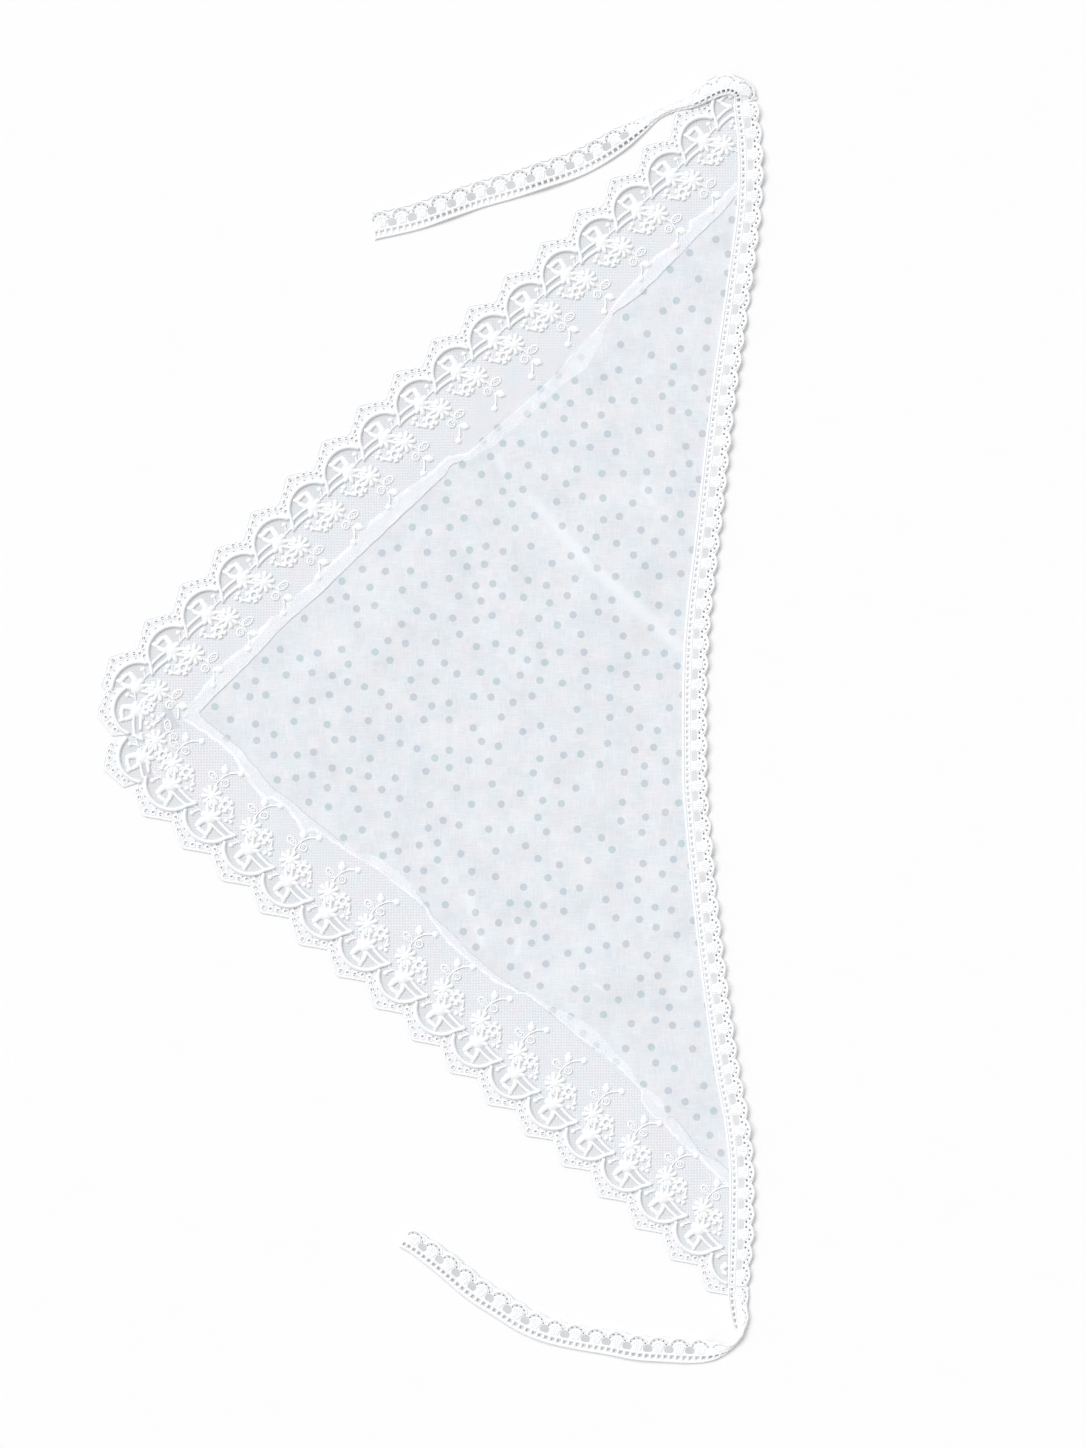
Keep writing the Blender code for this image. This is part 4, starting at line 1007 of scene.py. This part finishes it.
def border_outline(repeats, corner_repeat, seam, fold):
    """Outline of one leg's border: seam, edging, corner fold and scallops."""
    top = ((0.0, BORDER_TOP), (PATTERN_PITCH, BORDER_TOP))
    clips = [one_side(shifted(seam, UNDERLAP), -1),
             one_side(shifted(CORNER_FOLD, fold * SEAM / 2), fold),
             one_side(side_line(LAP), 1), one_side(top, -1)]
    return region([net_outline(repeats), net_outline([corner_repeat])], clips)


def arch(span):
    """Middle of the satin band of one arch, between two angles in degrees."""
    return [around(*ARCH_CENTRE, angle, ARCH_RADIUS) for angle in evenly(*span, ARCH_POINTS)]


def net_zones():
    """Stretches of one repeat where the net differs, each with its material slot: denser net by the
    scallops, and painted shade inside the arch and between the stems.
    """
    dense = [*DENSE_SIDES[:2], *[(s, t + DENSE_PAST) for s, t in reversed(SCALLOP)],
             *DENSE_SIDES[2:], *arch(DENSE_SPAN)]
    shaded = [(between(s, ARCH_CENTRE[0], ARCH_INSET), between(t, ARCH_CENTRE[1], ARCH_INSET))
             for s, t in arch(ARCH_SPAN)]
    return (dense, 1), (shaded + ARCH_CHORD, 3), (STEM_SHADE, 4)


def embroidered_lines():
    """Points, widths, height and step of every open strand in one repeat."""
    lines = [(arch(ARCH_SPAN) + ARCH_FOOT, *ARCH_BAND)]
    lines += [(points, widths, height, THREAD_STEP) for *widths, height, points in STRANDS]
    for along, out, count, root, tip, width, height, first in PETALS:
        for number in range(count):
            points = [around(along, out, first + number * 360.0 / count, reach)
                      for reach in (root, (root + tip) / 2, tip)]
            lines.append((points, [width * share for share in PETAL_WIDTHS], height, THREAD_STEP))
    inset, width, height, step = EDGE_LINE
    lines.append(([(s, t - inset) for s, t in SCALLOP], (width, width), height, step))
    inset, zigzag, width, height = EDGE_STITCH
    edge = Path(SCALLOP, 4)
    stations = evenly(0.0, edge.length, round(edge.length / THREAD_STEP))
    stitching = [edge.beside(along, inset + zigzag * (-1) ** number)
                 for number, along in enumerate(stations)]
    return lines + [(stitching, (width, width), height, THREAD_STEP)]


def embroider(pile, lines, repeat, shows):
    """All the raised threads of one repeat, where they show."""
    def place(s, t, height):
        return (*repeat(s, t), height)

    def ring(loop, width, height, step):
        if all(shows(repeat(*point)) for point in loop):
            strand(pile, loop, (width, width), height, place, base, step, closed=True)

    base = NET[1] - SUNK
    for points, widths, height, step in lines:
        for run in shown_runs(points, repeat, shows):
            strand(pile, run, widths, height * RELIEF, place, base, step)
    for along, out, radius, height in BUDS:
        if shows(repeat(along, out)):
            dome(pile, along, out, radius, height * RELIEF, place, base)
    for *oval, width, height in RINGS:
        ring(ellipse(*oval), width, height * RELIEF, RING_STEP)
    gap, *thread = EYELET_RING
    for along, out, radius in EYELETS:
        ring(circle(along, out, radius + gap, EYELET_CORNERS), *thread)


def lies_on(pieces, covers):
    """A test whether a point lies on a piece and under no cover, all given by their outlines."""
    pieces, covers = [[edges_of(loop) for loop in loops] for loops in (pieces, covers)]
    return lambda point: (any(is_inside(point, edges) for edges in pieces)
                          and not any(is_inside(point, edges) for edges in covers))


def make_border(node, outline, repeats):
    """One leg of the border: its net and its embroidery. Each repeat has a test of what shows."""
    edges = edges_of(outline)
    openings = [circle(*row, EYELET_CORNERS) for row in EYELETS]
    openings += [circle(*around(*ARCH_CENTRE, angle, PERFORATION_REACH), PERFORATION, HOLE_CORNERS)
                 for angle in PERFORATIONS]
    zones, lines = net_zones(), embroidered_lines()
    holes, patches = [], []
    for repeat, _ in repeats:
        rings = [of_repeat(repeat, opening) for opening in openings]
        holes += [ring for ring in rings if all(is_inside(point, edges) for point in ring)]
        patches += [(of_repeat(repeat, zone), slot) for zone, slot in zones]
    patches.append((DOUBLED_NET, 2))
    pile, threads = Pile(), Pile()
    area = shell(pile, outline, flat, *NET, holes=holes, patches=patches)
    net = pile.make(node + "_net", [tulle, dense_tulle, doubled_tulle, arch_painted_shade, stem_painted_shade])
    for repeat, shows in repeats:
        embroider(threads, lines, repeat, shows)
    stitched = threads.make(node + "_embroidery", [satin])
    dress(node, "tulle_lace", net, stitched)


# ---- seam allowances
def band_stations(table, step=2.6):
    """Rows of a band's table read at even steps, with the frayed edge's small wobble."""
    start, end = table[0][0], table[-1][0]
    rows = []
    for along in evenly(start, end, round((end - start) / step)):
        outer, inner, overcast = (table_value(table, along, column) for column in (1, 2, 3))
        outer += FRAY[overcast > OVER_LACE] * wobble(along / FRAY_LENGTH, 7.0, 0.0)
        inner += SEAM_WANDER * wobble(along / WANDER_LENGTH, 3.0, 5.0)
        rows.append((along, outer, inner, overcast))
    return rows


def band_outline(leg, rows, fold):
    """Outline of a seam allowance, which ends at the heading of the edging and the corner fold."""
    outer = [leg.beside(along, -depth) for along, depth, _, _ in rows]
    inner = [leg.beside(along, -depth) for along, _, depth, _ in rows]
    clips = [one_side(side_line(-SEAM), 1), one_side(shifted(CORNER_FOLD, fold * SEAM), fold)]
    return region([outer + inner[::-1]], clips)


def band_place(leg, rows):
    """Sets a band down: where it lies on the panel it thins out towards its edge there."""
    stations = [(leg.beside(along, -outer), leg.beside(along, -inner), overcast)
                for along, outer, inner, overcast in rows]

    def place(x, y, height):
        outer, inner, overcast = min(
            stations, key=lambda row: math.dist((x, y), row[0]) + math.dist((x, y), row[1]))
        share = min(math.dist((x, y), outer) / math.dist(outer, inner), 1.0)
        share *= clamped((OVER_LACE - overcast) / THIN_RAMP)
        sunk = VOILE[1] + THIN_GAP + (height - BAND[0]) * THINNED
        return x, y, between(height, sunk, share)

    return place


def unbroken(points, gap=4.0):
    """Points in order, cut into runs wherever one is farther than a gap from the next."""
    runs = [[points[0]]]
    for before, after in pairwise(points):
        if math.dist(before, after) > gap:
            runs.append([])
        runs[-1].append(after)
    return [run for run in runs if len(run) > 2]


def make_band(node, leg, table, fold, ridge_height):
    """A seam allowance, its overcast edge and the ridge where it turns at the seam."""
    rows = band_stations(table)
    outline = band_outline(leg, rows, fold)
    edges = edges_of(outline)
    middle = [leg.beside(along, -(outer + inner) / 2) for along, outer, inner, _ in rows]
    pile, stitches, ridge = Pile(), Pile(), Pile()
    area = shell(pile, outline, band_place(leg, rows), *BAND,
                 points=[point for point in middle if is_inside(point, edges)])
    overcast, widths, seam = [], [], []
    for along, outer, inner, width in rows:
        point = leg.beside(along, -(outer + width * OVERCAST / 2 - OVERHANG))
        if is_inside(point, edges):
            ragged = RAGGED[width > OVER_LACE] * wobble(along / RAGGED_LENGTH, 1.0, 9.0)
            overcast.append(point)
            widths.append(width * OVERCAST * (1 + ragged))
        side = leg.beside(along, -(inner - SEAM_RIDGE / 2))
        if width > OVER_LACE and is_inside(side, edges):
            seam.append(side)
    strand(stitches, overcast, widths, OVERCAST_HEIGHT, flat, BAND[1] - 0.01)
    for run in unbroken(seam):
        strand(ridge, run, (SEAM_RIDGE, SEAM_RIDGE), ridge_height, flat, BAND[0], 1.6)
    made = pile.make("seam_" + node, [band])
    thread = stitches.make("seam_" + node + "_overlock", [overlock])
    turned = ridge.make("seam_" + node + "_ridge", [overlock])
    for piece in (made, thread):
        piece.visible_shadow = False    # it is so sheer that the light goes on through it
    dress(node, "seam_allowance", made, thread, turned)
    width = ALLOWANCE * METRES


# ---- edging and ties
class Edging:
    """The fan edging where it is sewn on: it lies on the panel's edge and its fans curl up."""

    CLOTH, WIDTH = BRAID, EDGING_WIDTH
    WINDOW, LADDER, HOLE = SIDE_WINDOW, SIDE_LADDER, SIDE_HOLE
    PAINTED_SHADES = (side_painted_shade,)        # grey sheets of painted shade in its windows, and then round its fans
    FACES = 1                       # how many of its two faces have raised threads
    VALLEY = 1.0                    # depth of the valleys between its fans, as a share

    def __init__(self, path):
        self.path = path
        self.count = round(path.length / EDGING_PITCH)      # fans
        self.rungs = round(path.length / LADDER_PITCH)      # small holes of the ladder
        self.pitch = path.length / self.count
        self.scale = self.pitch / EDGING_PITCH

    def closed(self, along):
        """Degrees of curl on each side of the middle line: the edging is open all along."""
        return 0.0

    def place(self, along, out, height):
        """The strip in space; out is on the scale of a tie's width."""
        out *= between(CORNER_WIDTH, EDGING_WIDTH, min(along / CORNER_RAMP, 1.0)) / TIE_WIDTH
        slope = clamped((out - HEADING) / (EDGING_WIDTH - HEADING))
        lift = BRAID_LIFT[0] + BRAID_LIFT[1] * wobble(along / LIFT_LENGTH, 4.0, 2.0)
        return *self.path.beside(along, out), height + lift * slope

    def openings(self):
        """The small holes, and the grey patches of painted shade in the windows and round the fans.
        """
        holes, shade_patches = [], []
        for number in range(1, self.count):
            middle = self.pitch * number
            if self.closed(middle) < WINDOW_CURL:
                # each window holds a grey sheet of painted shade instead of an open hole
                loop = [(middle + along * self.scale, out) for along, out in self.WINDOW]
                shade_patches.append((loop, 1))
        for number in range(self.count):
            fan = self.pitch * number + FAN_MIDDLE[0] * self.scale, FAN_MIDDLE[1]
            # a grey ring of painted shade round each fan
            if len(self.PAINTED_SHADES) > 1:
                shade_patches.append(([around(*fan, angle, reach) for reach, angles in FAN_RING
                                 for angle in angles], 2))
            if self.closed(fan[0]) < HOLE_CURL:
                holes += [circle(*around(*fan, angle, *FAN_REACH), self.HOLE, HOLE_CORNERS)
                          for angle in FAN_HOLES]
        for number in range(self.rungs):
            middle = self.path.length * (number + 0.5) / self.rungs
            if self.closed(middle) < HOLE_CURL:
                holes.append([(middle + along * self.LADDER[0] / 2,
                               LADDER_MIDDLE + out * self.LADDER[1] / 2)
                              for along, out in LADDER_HOLE])
        return holes, shade_patches

    def lines(self):
        """Points, widths, height and step of every raised thread."""
        length = self.path.length
        stations = evenly(LINE_INSET, length - LINE_INSET, self.count * 3)
        lines = [([(along, out) for along in stations], (width, width), height, LINE_STEP)
                 for out, width, height in BRAID_LINES]
        for along in evenly(0.0, length, self.rungs):
            along = min(max(along, RUNG_INSET), length - RUNG_INSET)
            lines.append(([(along, out) for out in RUNG], *RUNG_THREAD))
        for number in range(self.count):
            x, y = length * number / self.count + FAN_MIDDLE[0] * self.scale, FAN_MIDDLE[1]
            for angle in FAN_RIBS:
                root = around(x, 0.0, angle, RIB_ROOT[0])[0], RIB_ROOT[1]
                tip = around(x, y - RIB_DROP, angle, *RIB_REACH)
                halfway = (root[0] + tip[0]) / 2, (root[1] + tip[1]) / 2
                lines.append(((root, halfway, tip), *RIB_THREAD))
            for reach, rise, first, last, width in FAN_ARCS:
                arc = [around(x, y, angle, reach * self.scale, rise)
                       for angle in evenly(first, last, ARC_POINTS)]
                arc = [(along, min(out, TIE_WIDTH - width / 2)) for along, out in arc]
                lines.append((arc, (width, width), ARC_HEIGHT, ARC_STEP))
        return lines

    def make(self, name, node):
        """The braid with its holes and its patches of painted shade, and its raised threads."""
        length, fine, coarse = self.path.length, len(FAN_SHARES), self.count * 5
        fans = [(self.pitch * number / fine,
                 TIE_WIDTH * (1 - self.VALLEY * (1 - FAN_SHARES[number % fine])))
                for number in range(self.count * fine + 1)]
        heading = [(length * number / coarse, 0.0) for number in range(coarse + 1)]
        outline = [(along + END_MARGIN * ((along >= length) - (along <= 0.0)), out)
                   for along, out in heading + fans[::-1]]
        holes, shade_patches = self.openings()
        inner = [(self.pitch * (number + 0.5) / 3, out) for number in range(self.count * 3)
                 for out in INNER_ROWS]
        pile, threads = Pile(), Pile()
        low, high = self.CLOTH
        area = shell(pile, outline, self.place, low, high, holes, shade_patches, inner)
        for base, way in ((high - BRAID_SUNK, 1), (low + BRAID_SUNK, -1))[:self.FACES]:
            for line, widths, height, step in self.lines():
                strand(threads, line, widths, way * height, self.place, base, step)
        if self.FACES == 2:
            inset, width, height, step = RIM
            rim = [(along, out - inset) for along, out in fans[1:-1]]
            # the rim thread takes the grey of the windows' painted shade
            strand(threads, rim, (width, width), height, self.place, high - SUNK, step, slot=1)
        made = pile.make(name, [braid, *self.PAINTED_SHADES])
        raised = threads.make(name + "_threads", [braid, *self.PAINTED_SHADES])
        dress(node, "fan_lace", made, raised)


class Tie(Edging):
    """A free end of the edging, which curls and turns along its middle line."""

    CLOTH, WIDTH = TIE_CLOTH, TIE_WIDTH
    WINDOW, LADDER, HOLE = TIE_WINDOW, TIE_LADDER, TIE_HOLE
    # painted shade: grey in the windows, and in a ring round each fan
    PAINTED_SHADES = (tie_painted_shade, fan_painted_shade)
    FACES = 2
    VALLEY = TIE_VALLEY
    NO_BEND = 0.02          # a curl below this is flat
    SAMPLES = 60            # across a section, to find its lowest point

    def __init__(self, path, side):
        super().__init__(path)
        self.side = side    # 1 where the fans are on the left of the middle line, else -1
        self.lowest = {}

    def section(self, along, out, height):
        """Across and up in the cross-section, before it is set down."""
        width, curl, turn = self.path.at(along)[2:5]
        half, bend = width / 2, math.radians(curl)
        middle = out * width / TIE_WIDTH - half
        if abs(bend) < self.NO_BEND:
            across, up = middle, height
        else:
            radius = half / bend
            across = (radius - height) * math.sin(middle / radius)
            up = radius - (radius - height) * math.cos(middle / radius)
            up -= radius * (1 - math.cos(bend)) / 2
        across *= self.side
        cos, sin = around(0.0, 0.0, turn, 1.0)
        return across * cos - up * sin, across * sin + up * cos

    def closed(self, along):
        """Degrees of curl on each side of the middle line, or as much for lost width."""
        width, curl = self.path.at(along)[2:4]
        return max(abs(curl), (TIE_WIDTH - width) * FOLD_CURL)

    def low_point(self, along):
        """Height of the lowest point of a cross-section of the strip."""
        key = round(along, 2)
        if key not in self.lowest:
            self.lowest[key] = min(self.section(along, out, height)[1]
                                   for out in evenly(0.0, TIE_WIDTH, self.SAMPLES)
                                   for height in (0.0, TIE_SPACE))
        return self.lowest[key]

    def place(self, along, out, height):
        """The strip in space."""
        across, up = self.section(along, out, height)
        rest = max(self.path.at(along)[5], 0.0)
        rise = up - self.low_point(along)
        rise = min(max(rise, 0.0), LOOSE) + PRESSED * max(rise - LOOSE, 0.0)
        return *self.path.beside(along, -across), rest + rise


# ---- the garment
upper_seam = seam_line(upper_leg, UPPER_SEAM)
lower_seam = seam_line(lower_leg, LOWER_SEAM)
panel_outline = region([one_side(shifted(upper_seam, -UNDERLAP), 1)],
                       [one_side(shifted(lower_seam, -UNDERLAP), 1), one_side(side_line(LAP), 1)])
panel_edges = edges_of(panel_outline)
make_panel()

upper_repeats = leg_repeats(upper_leg, UPPER_REPEATS, UPPER_PITCHES)
lower_repeats = leg_repeats(lower_leg, LOWER_REPEATS, LOWER_PITCHES)
upper_corner, lower_corner = (round_corner(*row) for row in CORNER_REPEATS)
upper_border = border_outline(upper_repeats, upper_corner, upper_seam, 1)
lower_border = border_outline(lower_repeats, lower_corner, lower_seam, -1)

# Where each repeat of the embroidery shows: on which borders, and what covers it.
past_heading = one_side(side_line(0.2), -1)
on_upper = lies_on([upper_border], [past_heading])
on_lower = lies_on([lower_border], [past_heading])
under_corner = lies_on([upper_border], [past_heading, of_repeat(upper_corner, ARCH_COVER)])
at_upper_corner = lies_on([upper_border, lower_border],
                          [past_heading, of_repeat(upper_repeats[-1], FLOWER_COVER)])
at_lower_corner = lies_on([lower_border, upper_border],
                          [past_heading, of_repeat(lower_repeats[0], ARCH_COVER),
                           of_repeat(lower_corner, SPRIG_COVER)])
make_border("border_upper", upper_border,
            [*((repeat, on_upper) for repeat in upper_repeats[:-1]),
             (upper_repeats[-1], under_corner), (upper_corner, at_upper_corner)])
make_border("border_lower", lower_border,
            [*((repeat, on_lower) for repeat in lower_repeats), (lower_corner, at_lower_corner)])
make_band("allowance_upper", upper_leg, UPPER_BAND, 1, UPPER_RIDGE)
make_band("allowance_lower", lower_leg, LOWER_BAND, -1, LOWER_RIDGE)
Edging(long_side).make("fan_edging", "edging")
Tie(Path(UPPER_TIE), -1).make("tie_upper_braid", "tie_upper")
Tie(Path(LOWER_TIE), 1).make("tie_lower_braid", "tie_lower")


# ---- floor, light and camera
def make_floor(half=3.0):
    """A plain white sheet under the shawl."""
    mesh = bpy.data.meshes.new("floor")
    mesh.from_pydata([(-half, -half, 0), (half, -half, 0), (half, half, 0), (-half, half, 0)],
                     [], [(0, 1, 2, 3)])
    mesh.materials.append(floor_material())
    placed("floor", mesh)


def make_lights():
    """Two broad soft lights, from the far side and from the left, and an even white room."""
    for name, energy, towards in (("key", 1.30, (0.38, -0.92, -0.90)),
                                  ("side", 0.98, (0.92, -0.38, -0.90))):
        lamp = bpy.data.lights.new(name, "SUN")
        lamp.energy = energy
        lamp.angle = math.radians(28.0)
        turn = Vector(towards).to_track_quat("-Z", "Y").to_euler()
        placed(name, lamp).rotation_euler = turn
    world = bpy.data.worlds.new("room")
    world.use_nodes = True
    background = world.node_tree.nodes["Background"]
    background.inputs["Color"].default_value = (1.0, 1.0, 1.0, 1.0)
    background.inputs["Strength"].default_value = 0.60
    bpy.context.scene.world = world


def make_camera():
    """Straight down, with the whole picture 597 by 796 mm."""
    picture_middle = (0.0621, -0.0024)
    picture_height, lens, sensor = 0.7964, 85.0, 36.0
    camera = bpy.data.cameras.new("camera")
    camera.lens, camera.sensor_width = lens, sensor
    camera.clip_end = 10.0
    made = placed("camera", camera)
    made.location = (*picture_middle, picture_height * lens / sensor)
    bpy.context.scene.camera = made


make_floor()
make_lights()
make_camera()
bpy.context.scene.view_settings.view_transform = "Standard"
